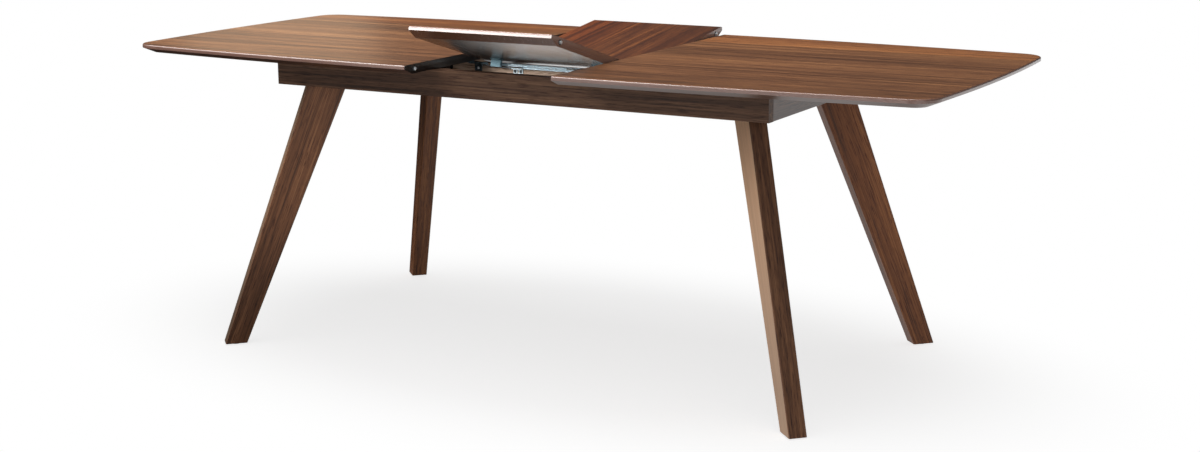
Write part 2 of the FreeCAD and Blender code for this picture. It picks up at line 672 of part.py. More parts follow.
def slide_screw(side, row, end, kind):
    """A screw through a channel's or a runner's back, near one end of the slide."""
    name = "%s_%s_%s_screw_%s" % (SIDE_NAMES[side], ROW_NAMES[row], kind, "a" if end < 0 else "b")
    along_x = "(%s) + (%d) * (slide_length / 2 - screw_end)" % (signed(side, "slide_centre"), end)
    depth, outward = {"channel": ("sheet_thick", -row), "runner": ("slide_depth - sheet_thick", row)}[kind]
    start = (along_x, signed(row, "%s + %s" % (slide_face(row), depth)), "slide_middle")
    return wood_screw(name, start, Vector(0, outward, 0), "sheet_thick + screw_bite")


def cleat(side, row):
    """Wooden cleat under a half top, which the runner is screwed to."""
    name = "%s_%s_cleat" % (SIDE_NAMES[side], ROW_NAMES[row])
    face = slide_face(row) + " + slide_depth"
    xs = spread(side, "slide_inner_end", "slide_inner_end + slide_length")
    ys = spread(row, face, face + " + cleat_thick")
    body = block(name + "_wood", xs, ys, ("slide_bottom", "underside"))
    own = [screw for screw in runner_screws[side] if ROW_NAMES[row] in screw.Name]
    own += [screw for screw in cleat_screws[side] if ROW_NAMES[row] in screw.Name]
    keep(cut(name + "_piece", body, own), name)


def cleat_screw(side, row, place):
    """A screw from below through a cleat into the half top."""
    name = "%s_%s_cleat_screw_%d" % (SIDE_NAMES[side], ROW_NAMES[row], place)
    middle = "%s + slide_depth + cleat_thick / 2" % slide_face(row)
    start = ("(%s) + (%d) * (slide_length / 2 - 2 * screw_end)" % (signed(side, "slide_centre"), place),
             signed(row, middle), "slide_bottom")
    return flush_screw(name, start, Z_AXIS, "underside - slide_bottom + screw_bite")


def meeting(first, first_reach, second, second_reach, beside):
    """The point at given distances from two centres, on the same side of them as another point."""
    line = second - first
    along_line = (first_reach ** 2 - second_reach ** 2 + line.Length ** 2) / (2 * line.Length)
    off_line = (first_reach ** 2 - along_line ** 2) ** 0.5
    unit = Vector(line).normalize()
    square = Vector(-unit.y, unit.x, 0)
    ends = [first + unit * along_line + square * off_line * hand for hand in (-1, 1)]
    return min(ends, key=lambda point: (point - beside).Length)


def on_circle(centre, radius, toward):
    return centre + (toward - centre).normalize() * radius


def arc_through(centre, radius, first, last):
    return Part.Arc(first, on_circle(centre, radius, (first + last) / 2), last)


def top_outline(body, ending, side, height, inset):
    """Plan of a half top: split edge, two bowed sides, two round corners and a crowned end."""
    sketch = flat_sketch(body, body.Name + ending, "XY_Plane", height)
    split_x = signed(side, "split")
    length = "(half_length - end_crown)"
    side_reach = "((%s ^ 2 + end_narrowing ^ 2) / (2 * end_narrowing) - %s)" % (length, inset)
    end_reach = "((end_half_width ^ 2 + end_crown ^ 2) / (2 * end_crown) - %s)" % inset
    end_x = signed(side, "split + half_length - %s - %s" % (inset, end_reach))
    corner = value("corner_radius - " + inset)
    half_width = "(half_width - %s)" % inset

    def at(x_text, y_text):
        return Vector(value(x_text), value(y_text), 0)

    end_centre, end_radius, side_radius = at(end_x, "0"), value(end_reach), value(side_reach)
    square_corner = signed(side, "split + %s" % length)
    split_points, side_centres, corner_arcs = {}, {}, {}
    for row in (FRONT, REAR):
        split_points[row] = at(split_x, signed(row, half_width))
        side_centres[row] = at(split_x, signed(row, "%s - %s" % (half_width, side_reach)))
        centre = meeting(side_centres[row], side_radius - corner, end_centre, end_radius - corner,
                         at(square_corner, signed(row, "end_half_width")))
        corner_arcs[row] = (centre, on_circle(side_centres[row], side_radius, centre),
                            on_circle(end_centre, end_radius, centre))
    near_centre, near_side, near_end = corner_arcs[FRONT]
    far_centre, far_side, far_end = corner_arcs[REAR]
    edges = (Part.LineSegment(split_points[REAR], split_points[FRONT]),
             arc_through(side_centres[FRONT], side_radius, split_points[FRONT], near_side),
             arc_through(near_centre, corner, near_side, near_end),
             arc_through(end_centre, end_radius, near_end, far_end),
             arc_through(far_centre, corner, far_end, far_side),
             arc_through(side_centres[REAR], side_radius, far_side, split_points[REAR]))
    for edge in edges:
        sketch.addGeometry(edge, False)

    def end_at(number, point):
        reach = [(sketch.getPoint(number, end) - point).Length for end in (1, 2)]
        return 1 + reach.index(min(reach))

    def join(kind, first, second, point):
        sketch.addConstraint(Sketcher.Constraint(kind, first, end_at(first, point),
                                                 second, end_at(second, point)))

    def hold_radius(number, text):
        held = sketch.addConstraint(Sketcher.Constraint("Radius", number, value(text)))
        sketch.setExpression("Constraints[%d]" % held, formula(text))

    join("Coincident", 0, 1, split_points[FRONT])
    join("Coincident", 5, 0, split_points[REAR])
    for first, second, point in ((1, 2, near_side), (2, 3, near_end), (3, 4, far_end), (4, 5, far_side)):
        join("Tangent", first, second, point)
    for number, row in ((1, FRONT), (5, REAR)):
        pin_point(sketch, number, end_at(number, split_points[row]), split_x, signed(row, half_width))
        pin_point(sketch, number, 3, split_x, None)
        hold_radius(number, side_reach)
    pin_point(sketch, 3, 3, end_x, "0")
    hold_radius(3, end_reach)
    for number in (2, 4):
        hold_radius(number, "corner_radius - " + inset)
    return sketch


def half_top(side):
    """One half top: undercut below, upright edge band above, and a softened arris."""
    name = SIDE_NAMES[side] + "_top"
    body = doc.addObject("PartDesign::Body", name + "_wood")
    band_bottom = "top_height - edge_band"
    lower = top_outline(body, "_lower", side, "underside", "edge_run")
    upper = top_outline(body, "_upper", side, band_bottom, "0")
    loft(body, lower, upper)
    pad(body, upper, "edge_band")
    split_x, high = value(signed(side, "split")), value("top_height")
    round_edges(body, name + "_arris", "edge_round",
                lambda box: near(box.ZMin, high) and not (
                    near(box.XMin, split_x) and near(box.XMax, split_x)))
    holes = top_fittings[side] + cleat_screws[side] + [stop_screws[side]]
    keep(cut(name + "_piece", body, holes), name + "_panel")


def alignment_pin(name, face, place):
    """A pin with a tapered tip, standing out of a face that looks towards +X."""
    start = ("(%s) - pin_in" % face, place, "mid_height")
    shank = cylinder(name + "_shank", start, X_AXIS, "pin_in + pin_out - pin_tip", "pin_radius")
    tip_start = ("(%s) + pin_out - pin_tip" % face, place, "mid_height")
    tip = cone(name + "_tip", tip_start, X_AXIS, "pin_tip", "pin_radius", "pin_radius - pin_tip")
    return fuse(name, [shank, tip])


def socket(name, face, place):
    """A blind bush in a face that looks towards -X, and the hole that it fills."""
    start = (face, place, "mid_height")
    plug = cylinder(name + "_plug", start, X_AXIS, "socket_length", "socket_radius")
    bore_start = ("(%s) - overrun" % face, place, "mid_height")
    bore = cylinder(name + "_bore", bore_start, X_AXIS, "socket_depth + overrun", "socket_bore")
    hole = cylinder(name + "_hole", start, X_AXIS, "socket_length", "socket_radius")
    return cut(name, plug, [bore]), hole


def stop_rail():
    """Grooved rail on the front bearer's outer face, one groove for each half top's rod."""
    ys = ("-rail_face", "-front_beam_face")
    bar = block("stop_rail_bar", ("-rail_left_end", "rail_right_end"), ys, ("rail_bottom", "rail_top"))
    grooves = [block("stop_rail_%s_groove" % SIDE_NAMES[side],
                     ("-rail_left_end - overrun", "rail_right_end + overrun"),
                     ("-rail_face - overrun", "-rail_face + groove_depth"),
                     about(rod_height(side), "groove_height / 2")) for side in (LEFT, RIGHT)]
    keep(cut("stop_rail_piece", bar, grooves), "front_stop_rail")


def rod_height(side):
    """Height of a groove's middle: the left half top's rod runs in the lower groove."""
    if side == LEFT:
        return "(rail_bottom + groove_edge + groove_height / 2)"
    return "(rail_top - groove_edge - groove_height / 2)"


def stop_parts(side):
    """Bracket under a half top's split edge, whose arm carries a hanging plate out, and its stop rod."""
    name = SIDE_NAMES[side] + "_stop"
    plate_back = "rail_face + bracket_gap"
    ys = ("-(%s) - bracket_thick" % plate_back, "-(%s)" % plate_back)
    foot_xs = spread(side, "split + bracket_inset", "split + bracket_inset + bracket_width")
    foot = block(name + "_foot", foot_xs, ("-(%s) - bracket_foot" % plate_back, "-(%s)" % plate_back),
                 ("underside - bracket_thick", "underside"))
    riser = block(name + "_riser", foot_xs, ys, ("rail_top - arm_height", "underside"))
    arm_xs = spread(side, "split + bracket_inset - arm_reach", "split + bracket_inset + bracket_width")
    arm = block(name + "_arm", arm_xs, ys, ("rail_top - arm_height", "rail_top"))
    plate_xs = spread(side, "split - plate_out", "split - plate_out + plate_width")
    plate = block(name + "_plate", plate_xs, ys, ("underside - bracket_height", "rail_top"))
    whole = fuse(name + "_whole", [foot, riser, arm, plate])
    keep(cut(name + "_bracket_piece", whole, [stop_screws[side]]), name + "_bracket")
    rod_xs = spread(side, "split - plate_out + plate_width - rod_length", "split - plate_out + plate_width")
    rod = block(name + "_rod_bar", rod_xs, ("-(%s)" % plate_back, "-(%s) + rod_depth" % plate_back),
                about(rod_height(side), "rod_height / 2"))
    keep(rod, name + "_rod")


def stop_screw(side):
    name = SIDE_NAMES[side] + "_stop_screw"
    middle = "rail_face + bracket_gap + (bracket_foot + bracket_thick) / 2"
    start = (signed(side, "split + bracket_inset + bracket_width / 2"), "-(%s)" % middle,
             "underside - bracket_thick")
    return wood_screw(name, start, Z_AXIS, "bracket_thick + screw_bite")


def slotted_bracket(side):
    """Angle bracket with three upright slots, which holds the stop rail on the bearer."""
    name = SIDE_NAMES[side] + "_slotted_bracket"
    centre = signed(side, "slot_plate_place")
    xs = about(centre, "slot_plate_width / 2")
    lower = "rail_bottom - slot_plate_height"
    plate = block(name + "_plate", xs, ("-front_beam_face - slot_plate_thick", "-front_beam_face"),
                  (lower, "rail_bottom"))
    shelf = block(name + "_shelf", xs, ("-rail_face", "-front_beam_face"),
                  ("rail_bottom - slot_plate_thick", "rail_bottom"))
    slots = [block("%s_slot_%d" % (name, number + 1),
                   about("(%s) + (%d) * slot_pitch" % (centre, number), "slot_width / 2"),
                   ("-front_beam_face - slot_plate_thick - overrun", "-front_beam_face + overrun"),
                   (lower + " + slot_rise", lower + " + slot_rise + slot_height")) for number in (-1, 0, 1)]
    return cut(name, fuse(name + "_whole", [plate, shelf]), slots)


def slot_screw(side, number):
    """A screw through an outer slot of a slotted bracket."""
    name = "%s_slot_screw_%s" % (SIDE_NAMES[side], "a" if number < 0 else "b")
    height = "rail_bottom - slot_plate_height + slot_rise + slot_height / 2"
    start = ("(%s) + (%d) * slot_pitch" % (signed(side, "slot_plate_place"), number),
             "-front_beam_face - slot_plate_thick", height)
    head = cylinder(name + "_head", start, Vector(0, -1, 0), "screw_head_thick", "screw_head_radius")
    shank = cylinder(name + "_shank", start, Vector(0, 1, 0), "slot_plate_thick + screw_bite",
                     "slot_screw_radius")
    return fuse(name, [head, shank])


def leaf_panel(name, row, holes):
    """One leaf half, modelled flat, with the same outer edge as the half tops."""
    body = doc.addObject("PartDesign::Body", name + "_wood")
    corners = [(signed(row, "seam_edge"), "underside"),
               (signed(row, "half_width - edge_run"), "underside"),
               (signed(row, "half_width"), "top_height - edge_band"),
               (signed(row, "half_width"), "top_height"),
               (signed(row, "seam_edge"), "top_height")]
    pad(body, polygon(body, name + "_outline", "YZ_Plane", "-leaf_end", corners), "leaf_length")
    edge, high = value(signed(row, "half_width")), value("top_height")
    round_edges(body, name + "_arris", "edge_round",
                lambda box: near(box.YMin, edge) and near(box.YMax, edge) and near(box.ZMin, high))
    return cut(name + "_flat", body, holes)


def hinge_cup(name, row, place):
    """A hinge cup in the seam face with a pocket for its link, and the hole that it fills."""
    start = (place, signed(row, "seam_edge"), "mid_height")
    direction = Vector(0, row, 0)
    barrel = cylinder(name + "_barrel", start, direction, "cup_length", "cup_radius")
    pocket = block(name + "_pocket", about(place, "pocket_width / 2"),
                   spread(row, "seam_edge - overrun", "seam_edge + pocket_length"),
                   ("mid_height - pocket_below", "mid_height + pocket_above"))
    hole = cylinder(name + "_hole", start, direction, "cup_length", "cup_radius")
    return cut(name, barrel, [pocket]), hole


def hinge_link(name, place):
    """Middle link of a hinge, which lies in the pockets of both cups."""
    return block(name, about(place, "link_width / 2"), ("-link_half_length", "link_half_length"),
                 about("mid_height", "link_half_height"))


def leaf_foot(side):
    """Foot under the near leaf half: a flange and a post in front of the stop rail."""
    name = SIDE_NAMES[side] + "_foot"
    centre = signed(side, FOOT_PLACES[side])
    post_back = "rail_face + foot_gap"
    post = block(name + "_post", about(centre, "foot_width / 2"),
                 ("-(%s) - foot_thick" % post_back, "-(%s)" % post_back),
                 ("underside - foot_flange_thick - foot_height", "underside - foot_flange_thick"))
    flange = block(name + "_flange", about(centre, "foot_width / 2"),
                   ("-(%s) - foot_thick - foot_flange_run / 2" % post_back,
                    "-(%s) + foot_flange_run / 2" % post_back),
                   ("underside - foot_flange_thick", "underside"))
    return fuse(name, [post, flange])


def ear_outline(name, xs, top):
    """An upright ear: a rounded lower end about the pivot axis, with straight sides up to a height."""
    start = (xs[0], "pivot_place", "pivot_height")
    length = "(%s) - (%s)" % (xs[1], xs[0])
    tip = cylinder(name + "_tip", start, X_AXIS, length, "ear_radius")
    web = block(name + "_web", xs, about("pivot_place", "ear_radius"), ("pivot_height", top))
    return fuse(name, [tip, web])


def leaf_ear(side):
    """Plate with an ear under the far leaf half; the pivot pin passes through the ear."""
    name = SIDE_NAMES[side] + "_leaf_ear"
    centre = signed(side, "pivot_half_span")
    plate = block(name + "_plate", about(centre, "fork_half_width"), about("pivot_place", "ear_plate_half"),
                  ("underside - ear_plate_thick", "underside"))
    ear = ear_outline(name + "_web", about(centre, "ear_thick / 2"), "underside - ear_plate_thick")
    bore = cylinder(name + "_bore", ("(%s) - ear_thick" % centre, "pivot_place", "pivot_height"), X_AXIS,
                    "2 * ear_thick", "pivot_radius + pivot_fit")
    return cut(name, fuse(name + "_whole", [plate, ear]), [bore])


def fixed_fork(side):
    """Bracket on the rear apron's inner face: a back plate and two ears beside the leaf's ear."""
    name = SIDE_NAMES[side] + "_pivot_bracket"
    centre = signed(side, "pivot_half_span")
    back = block(name + "_back", about(centre, "fork_half_width"),
                 ("frame_inner_width - fork_thick", "frame_inner_width"),
                 ("pivot_height - fork_fall", "pivot_height + fork_rise"))
    gap = "ear_thick / 2 + ear_gap"
    ears = []
    for hand in (LEFT, RIGHT):
        inner = "(%s) + (%d) * (%s)" % (centre, hand, gap)
        outer = "(%s) + (%d) * (%s + fork_thick)" % (centre, hand, gap)
        xs = (inner, outer) if hand > 0 else (outer, inner)
        eye = cylinder("%s_eye_%d" % (name, hand > 0), (xs[0], "pivot_place", "pivot_height"), X_AXIS,
                       "fork_thick", "ear_radius")
        web = block("%s_web_%d" % (name, hand > 0), xs, ("pivot_place", "frame_inner_width - fork_thick"),
                    about("pivot_height", "ear_radius"))
        ears += [eye, web]
    whole = fuse(name + "_whole", [back] + ears)
    own = [screw for screw in fork_screws if screw.Name.startswith(SIDE_NAMES[side])]
    return cut(name, whole, [pivot_bore(side)] + own)


def pivot_bore(side):
    centre = signed(side, "pivot_half_span")
    half = "(ear_thick / 2 + ear_gap + fork_thick + overrun)"
    return cylinder(SIDE_NAMES[side] + "_pivot_bore", ("(%s) - %s" % (centre, half), "pivot_place",
                    "pivot_height"), X_AXIS, "2 * " + half, "pivot_radius")


def fork_screw(side, level):
    """A screw through the back plate into the rear apron, beside or below the ears."""
    name = "%s_fork_screw_%s" % (SIDE_NAMES[side], level)
    height = {"low": "pivot_height - (fork_fall + ear_radius) / 2", "high": "pivot_height"}[level]
    shift = {"low": "0", "high": "(fork_half_width + ear_radius) / 2"}[level]
    start = ("(%s) + %s" % (signed(side, "pivot_half_span"), shift), "frame_inner_width - fork_thick", height)
    return wood_screw(name, start, Vector(0, 1, 0), "fork_thick + screw_bite")


def pivot_pin(side):
    """Pivot pin, tight in the fixed ears, with a head against the outer ear."""
    name = SIDE_NAMES[side] + "_pivot_pin"
    centre = signed(side, "pivot_half_span")
    half = "(ear_thick / 2 + ear_gap + fork_thick)"
    shank = cylinder(name + "_shank", ("(%s) - %s" % (centre, half), "pivot_place", "pivot_height"), X_AXIS,
                     "2 * " + half, "pivot_radius")
    head_start = ("(%s) + (%d) * %s" % (centre, side, half), "pivot_place", "pivot_height")
    head = cylinder(name + "_head", head_start, Vector(side, 0, 0), "pivot_head_thick", "pivot_head_radius")
    return fuse(name, [shank, head])


def flange_screw(name, x_text, y_text, thick):
    """A countersunk screw from below through a flange under a leaf half."""
    return flush_screw(name, (x_text, y_text, "underside - %s" % thick), Z_AXIS, "%s + screw_bite" % thick)


def foot_screw(side, hand):
    name = "%s_foot_screw_%s" % (SIDE_NAMES[side], "a" if hand < 0 else "b")
    x_text = "(%s) + (%d) * foot_width / 4" % (signed(side, FOOT_PLACES[side]), hand)
    y_text = "-(rail_face + foot_gap) + (%d) * foot_flange_run / 4" % hand
    shift = {LEFT: " - foot_thick", RIGHT: ""}[hand]
    return flange_screw(name, x_text, y_text + shift, "foot_flange_thick")


def ear_screw(side, hand):
    name = "%s_ear_screw_%s" % (SIDE_NAMES[side], "a" if hand < 0 else "b")
    x_text = "(%s) + (%d) * fork_half_width / 2" % (signed(side, "pivot_half_span"), hand)
    return flange_screw(name, x_text, "pivot_place + (%d) * ear_plate_half / 2" % hand, "ear_plate_thick")


def leaf_half(row, pose, panel_holes, fittings):
    """Stand a leaf half and what is fixed to it in the pose that the photograph shows."""
    name = {FRONT: "near", REAR: "far"}[row] + "_leaf"
    cups, cup_holes = zip(*[hinge_cup("%s_cup_%d" % (name, number), row, "(%d) * cup_place" % number)
                            for number in (-1, 0, 1)])
    pin = alignment_pin(name + "_pin_flat", "leaf_end", signed(row, "pin_place"))
    bush, bush_hole = socket(name + "_socket_flat", "-leaf_end", signed(row, "pin_place"))
    panel = leaf_panel(name, row, list(cup_holes) + [pin, bush_hole] + panel_holes)
    parts = {"panel": panel, "pin": pin, "socket": bush, "hinge_cups": group(name + "_cups", list(cups))}
    parts.update(fittings)
    for ending, part in parts.items():
        posed = group(name + "_posed_" + ending, [part])
        posed.Placement = pose
        keep(posed, name + "_" + ending)


def leaf_poses():
    """Placements that tilt the far half on its pivots, and the near half on the fold line as well."""
    pivot = Vector(0, value("pivot_place"), value("pivot_height"))
    fold = Vector(0, 0, value("fold_height"))
    far_turn = Rotation(X_AXIS, value("far_tilt"))
    near_turn = Rotation(X_AXIS, -value("far_tilt + near_tilt"))
    far_pose = Placement(Vector(), far_turn, pivot)
    return far_pose, far_pose.multiply(Placement(Vector(), near_turn, fold))


# Fasteners that pass through more than one piece
dowels = {row: [apron_dowel(side, row, level) for side in (LEFT, RIGHT) for level in ("low", "high")]
          for row in (FRONT, REAR)}
cross_screws = {row: [cross_screw(side, row) for side in (LEFT, RIGHT)] for row in (FRONT, REAR)}
channel_screws = {row: [slide_screw(side, row, end, "channel") for side in (LEFT, RIGHT) for end in (-1, 1)]
                  for row in (FRONT, REAR)}
runner_screws = {side: [slide_screw(side, row, end, "runner") for row in (FRONT, REAR) for end in (-1, 1)]
                 for side in (LEFT, RIGHT)}
cleat_screws = {side: [cleat_screw(side, row, place) for row in (FRONT, REAR) for place in (-1, 0, 1)]
                for side in (LEFT, RIGHT)}
stop_screws = {side: stop_screw(side) for side in (LEFT, RIGHT)}
slot_screws = [slot_screw(side, number) for side in (LEFT, RIGHT) for number in (-1, 1)]
fork_screws = [fork_screw(side, level) for side in (LEFT, RIGHT) for level in ("low", "high")]
foot_screws = [foot_screw(side, hand) for side in (LEFT, RIGHT) for hand in (-1, 1)]
ear_screws = [ear_screw(side, hand) for side in (LEFT, RIGHT) for hand in (-1, 1)]

# Frame
for row in (FRONT, REAR):
    long_apron(row)
    beam(row)
for side in (LEFT, RIGHT):
    end_apron(side)
keep(group("apron_dowel_group", dowels[FRONT] + dowels[REAR]), "apron_dowels")
keep(group("cross_rail_group", [cross_rail(side) for side in (LEFT, RIGHT)]), "cross_rails")
keep(group("rest_pad_group", [
    cylinder(SIDE_NAMES[side] + "_rest_pad", (signed(side, "cross_place"), "pad_place", "cross_top"), Z_AXIS,
             "pad_thick", "pad_radius") for side in (LEFT, RIGHT)]), "rest_pads")

# Legs
corner_blocks, leg_bolts, glides = [], [], []
for row in (FRONT, REAR):
    for side in (LEFT, RIGHT):
        corner_block, bolts, glide = leg_corner(side, row)
        corner_blocks.append(corner_block)
        leg_bolts += bolts
        glides.append(glide)
keep(group("corner_block_group", corner_blocks), "corner_blocks")
keep(group("leg_bolt_group", leg_bolts), "leg_bolts")
keep(group("glide_group", glides), "foot_glides")

# Slides
for side in (LEFT, RIGHT):
    keep(group(SIDE_NAMES[side] + "_channels", [channel(side, row) for row in (FRONT, REAR)]),
         SIDE_NAMES[side] + "_slide_channels")
    cages, balls = zip(*[ball_cage(side, row) for row in (FRONT, REAR)])
    keep(group(SIDE_NAMES[side] + "_cages", list(cages)), SIDE_NAMES[side] + "_ball_cages")
    keep(group(SIDE_NAMES[side] + "_balls", balls[0] + balls[1]), SIDE_NAMES[side] + "_slide_balls")
    for row in (FRONT, REAR):
        runner(side, row)
        cleat(side, row)

# Stop rail and the pivots of the leaf, fixed to the frame
stop_rail()
keep(group("slotted_bracket_group", [slotted_bracket(side) for side in (LEFT, RIGHT)]), "slotted_brackets")
keep(group("pivot_bracket_group", [fixed_fork(side) for side in (LEFT, RIGHT)]), "pivot_brackets")
keep(group("pivot_pin_group", [pivot_pin(side) for side in (LEFT, RIGHT)]), "pivot_pins")
keep(group("frame_screw_group", [screw for row in (FRONT, REAR) for screw in cross_screws[row]
                                 + channel_screws[row]] + slot_screws + fork_screws), "frame_screws")

# Half tops
top_pins = [alignment_pin("left_top_pin_" + ROW_NAMES[row], "-split", signed(row, "pin_place"))
            for row in (FRONT, REAR)]
top_sockets, top_socket_holes = zip(*[socket("right_top_socket_" + ROW_NAMES[row], "split",
                                             signed(row, "pin_place")) for row in (FRONT, REAR)])
top_fittings = {LEFT: top_pins, RIGHT: list(top_socket_holes)}
for side in (LEFT, RIGHT):
    half_top(side)
    stop_parts(side)
    keep(group(SIDE_NAMES[side] + "_top_screw_group",
               runner_screws[side] + cleat_screws[side] + [stop_screws[side]]),
         SIDE_NAMES[side] + "_top_screws")
keep(group("left_top_pin_group", top_pins), "left_top_pins")
keep(group("right_top_socket_group", list(top_sockets)), "right_top_sockets")

# Leaf
far_pose, near_pose = leaf_poses()
leaf_half(REAR, far_pose, ear_screws, {
    "ears": cut("leaf_ear_cut", group("leaf_ear_group", [leaf_ear(side) for side in (LEFT, RIGHT)]),
                ear_screws),
    "screws": group("far_leaf_screw_group", ear_screws)})
leaf_half(FRONT, near_pose, foot_screws, {
    "feet": cut("foot_cut", group("foot_group", [leaf_foot(side) for side in (LEFT, RIGHT)]), foot_screws),
    "screws": group("near_leaf_screw_group", foot_screws)})
links = group("hinge_link_group", [hinge_link("hinge_link_%d" % number, "(%d) * cup_place" % number)
                                   for number in (-1, 0, 1)])
links.Placement = near_pose
keep(links, "hinge_links")

doc.recompute()
failed = [item.Name for item in doc.Objects if "Invalid" in item.State or "Error" in item.State]
if failed:
    raise RuntimeError("these objects failed: " + ", ".join(failed))
for part in pieces:
    if part.Shape.isNull() or not part.Shape.isValid() or not part.Shape.Solids:
        raise RuntimeError("no sound solid in " + part.Label)

os.makedirs("parts", exist_ok=True)
for part in pieces:
    part.Shape.exportStep("parts/%s.step" % part.Label)
whole = Part.makeCompound([part.Shape for part in pieces])
box = whole.BoundBox
print("%d pieces in %d solids" % (len(pieces), len(whole.Solids)))
print("size %.1f x %.1f x %.1f mm, lowest point %.2f" % (box.XLength, box.YLength, box.ZLength, box.ZMin))
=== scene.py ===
# %% [markdown]
# # An extending walnut dining table, half way through raising its leaf
# The construction of this table is already modelled: two sliding half tops, a leaf in two hinged halves,
# four aprons, four splayed legs and the steel that carries the leaf. This lesson loads that model as a
# fixed frame and gives it its looks: walnut veneer, solid walnut, plated steel, and the light of a plain
# studio. Lengths are in metres. X runs along the table, Y across it with the front at -Y, and Z is up.

# %% Load the frame
import math

import bmesh
import bpy
from mathutils import Matrix, Vector


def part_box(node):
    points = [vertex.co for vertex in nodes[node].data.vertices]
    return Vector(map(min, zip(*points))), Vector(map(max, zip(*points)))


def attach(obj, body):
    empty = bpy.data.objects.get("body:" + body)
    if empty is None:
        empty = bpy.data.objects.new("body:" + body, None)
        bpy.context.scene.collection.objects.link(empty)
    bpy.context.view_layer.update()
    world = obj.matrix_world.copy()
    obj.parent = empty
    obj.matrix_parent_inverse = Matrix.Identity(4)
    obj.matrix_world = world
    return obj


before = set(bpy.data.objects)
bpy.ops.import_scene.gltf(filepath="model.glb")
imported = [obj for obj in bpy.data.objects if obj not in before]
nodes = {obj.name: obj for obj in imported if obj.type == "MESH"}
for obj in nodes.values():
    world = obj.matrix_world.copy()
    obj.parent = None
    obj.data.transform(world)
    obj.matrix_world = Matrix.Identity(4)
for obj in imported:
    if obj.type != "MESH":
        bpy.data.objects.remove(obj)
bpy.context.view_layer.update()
MM = 0.001

# %% [markdown]
# ## The camera
# The photograph was taken from the right of the table and a little above it. A camera could be set by eye,
# but eighteen points that lie on known planes of the table, such as the feet and the corners of the tops,
# gave the place and turn of a pinhole camera. Yaw turns it to the left of +Y, pitch tips it down, and roll
# is almost nothing. A long lens keeps the legs from spreading.

# %% Place the camera
CAMERA_PLACE = Vector((2.235294, -3.912738, 1.302151))
YAW, PITCH, ROLL = 0.50577, 0.21803, -0.004655
FOCAL_PIXELS = 1836.775
PHOTO_WIDTH_PIXELS = 1200
SENSOR_MM = 36

UP = Vector((0, 0, 1))
level_ahead = Vector((-math.sin(YAW), math.cos(YAW), 0))
level_right = Vector((math.cos(YAW), math.sin(YAW), 0))
forward = level_ahead * math.cos(PITCH) - UP * math.sin(PITCH)
tipped_up = level_ahead * math.sin(PITCH) + UP * math.cos(PITCH)
camera_right = level_right * math.cos(ROLL) + tipped_up * math.sin(ROLL)
camera_up = tipped_up * math.cos(ROLL) - level_right * math.sin(ROLL)

camera_data = bpy.data.cameras.new("photo_camera")
camera_data.sensor_fit = "HORIZONTAL"
camera_data.sensor_width = SENSOR_MM
camera_data.lens = SENSOR_MM * (FOCAL_PIXELS / PHOTO_WIDTH_PIXELS)
camera = bpy.data.objects.new("photo_camera", camera_data)
bpy.context.scene.collection.objects.link(camera)
camera_turn = Matrix((camera_right, camera_up, -forward)).transposed()
camera.matrix_world = Matrix.Translation(CAMERA_PLACE) @ camera_turn.to_4x4()
bpy.context.scene.camera = camera
bpy.context.scene.view_settings.view_transform = "Standard"
print("lens: %.1f mm" % camera_data.lens)

# %% [markdown]
# ## One way to write a colour, and one way to add a node
# Colours are written as sRGB hex values, the way a paint chart gives them, and shaders work with linear
# light. One function turns the first into the second. A second small function adds any shader node with
# its settings and its links. Each node could be written out with Blender's own calls, but then the steps
# of a material are hard to see among them.

# %% Colour and node helpers
def linear(hex_colour):
    """Turn an sRGB hex value into linear red, green, blue and alpha, by the curve of the sRGB standard."""
    parts = [int(hex_colour[i:i + 2], 16) / 255 for i in (1, 3, 5)]
    return [p / 12.92 if p <= 0.04045 else ((p + 0.055) / 1.055) ** 2.4 for p in parts] + [1]


def add(tree, kind, settings=None, links=None):
    """Add a node; "stops" fills a colour ramp, and a link is an output socket or a plain value."""
    node = tree.nodes.new("ShaderNode" + kind)
    for name, setting in (settings or {}).items():
        if name != "stops":
            setattr(node, name, setting)
            continue
        elements = node.color_ramp.elements
        while len(elements) < len(setting):
            elements.new(0.5)
        for element, (place, colour) in zip(elements, setting):
            element.position, element.color = place, linear(colour)
    for name, source in (links or {}).items():
        socket = node.inputs[name]
        if isinstance(source, bpy.types.NodeSocket):
            tree.links.new(source, socket)
        else:
            socket.default_value = source
    return node


print("walnut heartwood in linear light:", [round(part, 3) for part in linear("#724a2f")])

# %% [markdown]
# ## Walnut, and the way its grain runs
# Every wooden face that shows from outside is walnut: thin slices of it, glued on as veneer, on the tops,
# the leaf and the aprons, and solid sticks for the legs. The plain hardwoods inside and the beech dowels
# are drawn by the same routine in other tones. Wood looks right only when its grain runs the right way on
# each piece. A photograph of wood could be wrapped round every piece, but a procedural wood needs no
# picture: it is drawn in the piece's own grain frame, with X along the grain, Z out of the face and Y
# across the grain. This function gives the rotation into that frame, and a Mapping node applies it.

# %% Turn into the grain frame
def grain_turn(grain, face):
    """Rotation that takes the grain direction to X and the face's normal to Z."""
    along = Vector(grain).normalized()
    out = (Vector(face) - along * along.dot(Vector(face))).normalized()
    return Matrix((along, out.cross(along), out))


print("grain frame of an end apron:", [tuple(axis) for axis in grain_turn((0, 1, 0), (1, 0, 0))])

# %% [markdown]
# ## Slices, bends, streaks, growth lines and pores
# Veneer comes in slices about 150 mm wide that lie side by side. Here each slice takes its own stretch of
# one endless pattern, which a random hop picks, and its own tone. Walnut is a mid brown wood with darker
# growth lines that run with the grain, slow bends in them, and short dark pores. Noise that is stretched
# along the grain draws each of them at its own length and width. Growth lines a few millimetres apart melt
# together at this distance, so broader streaks carry the look. The pores of real walnut are 0.2 mm wide,
# too fine to show here, so they are drawn ten times as wide.

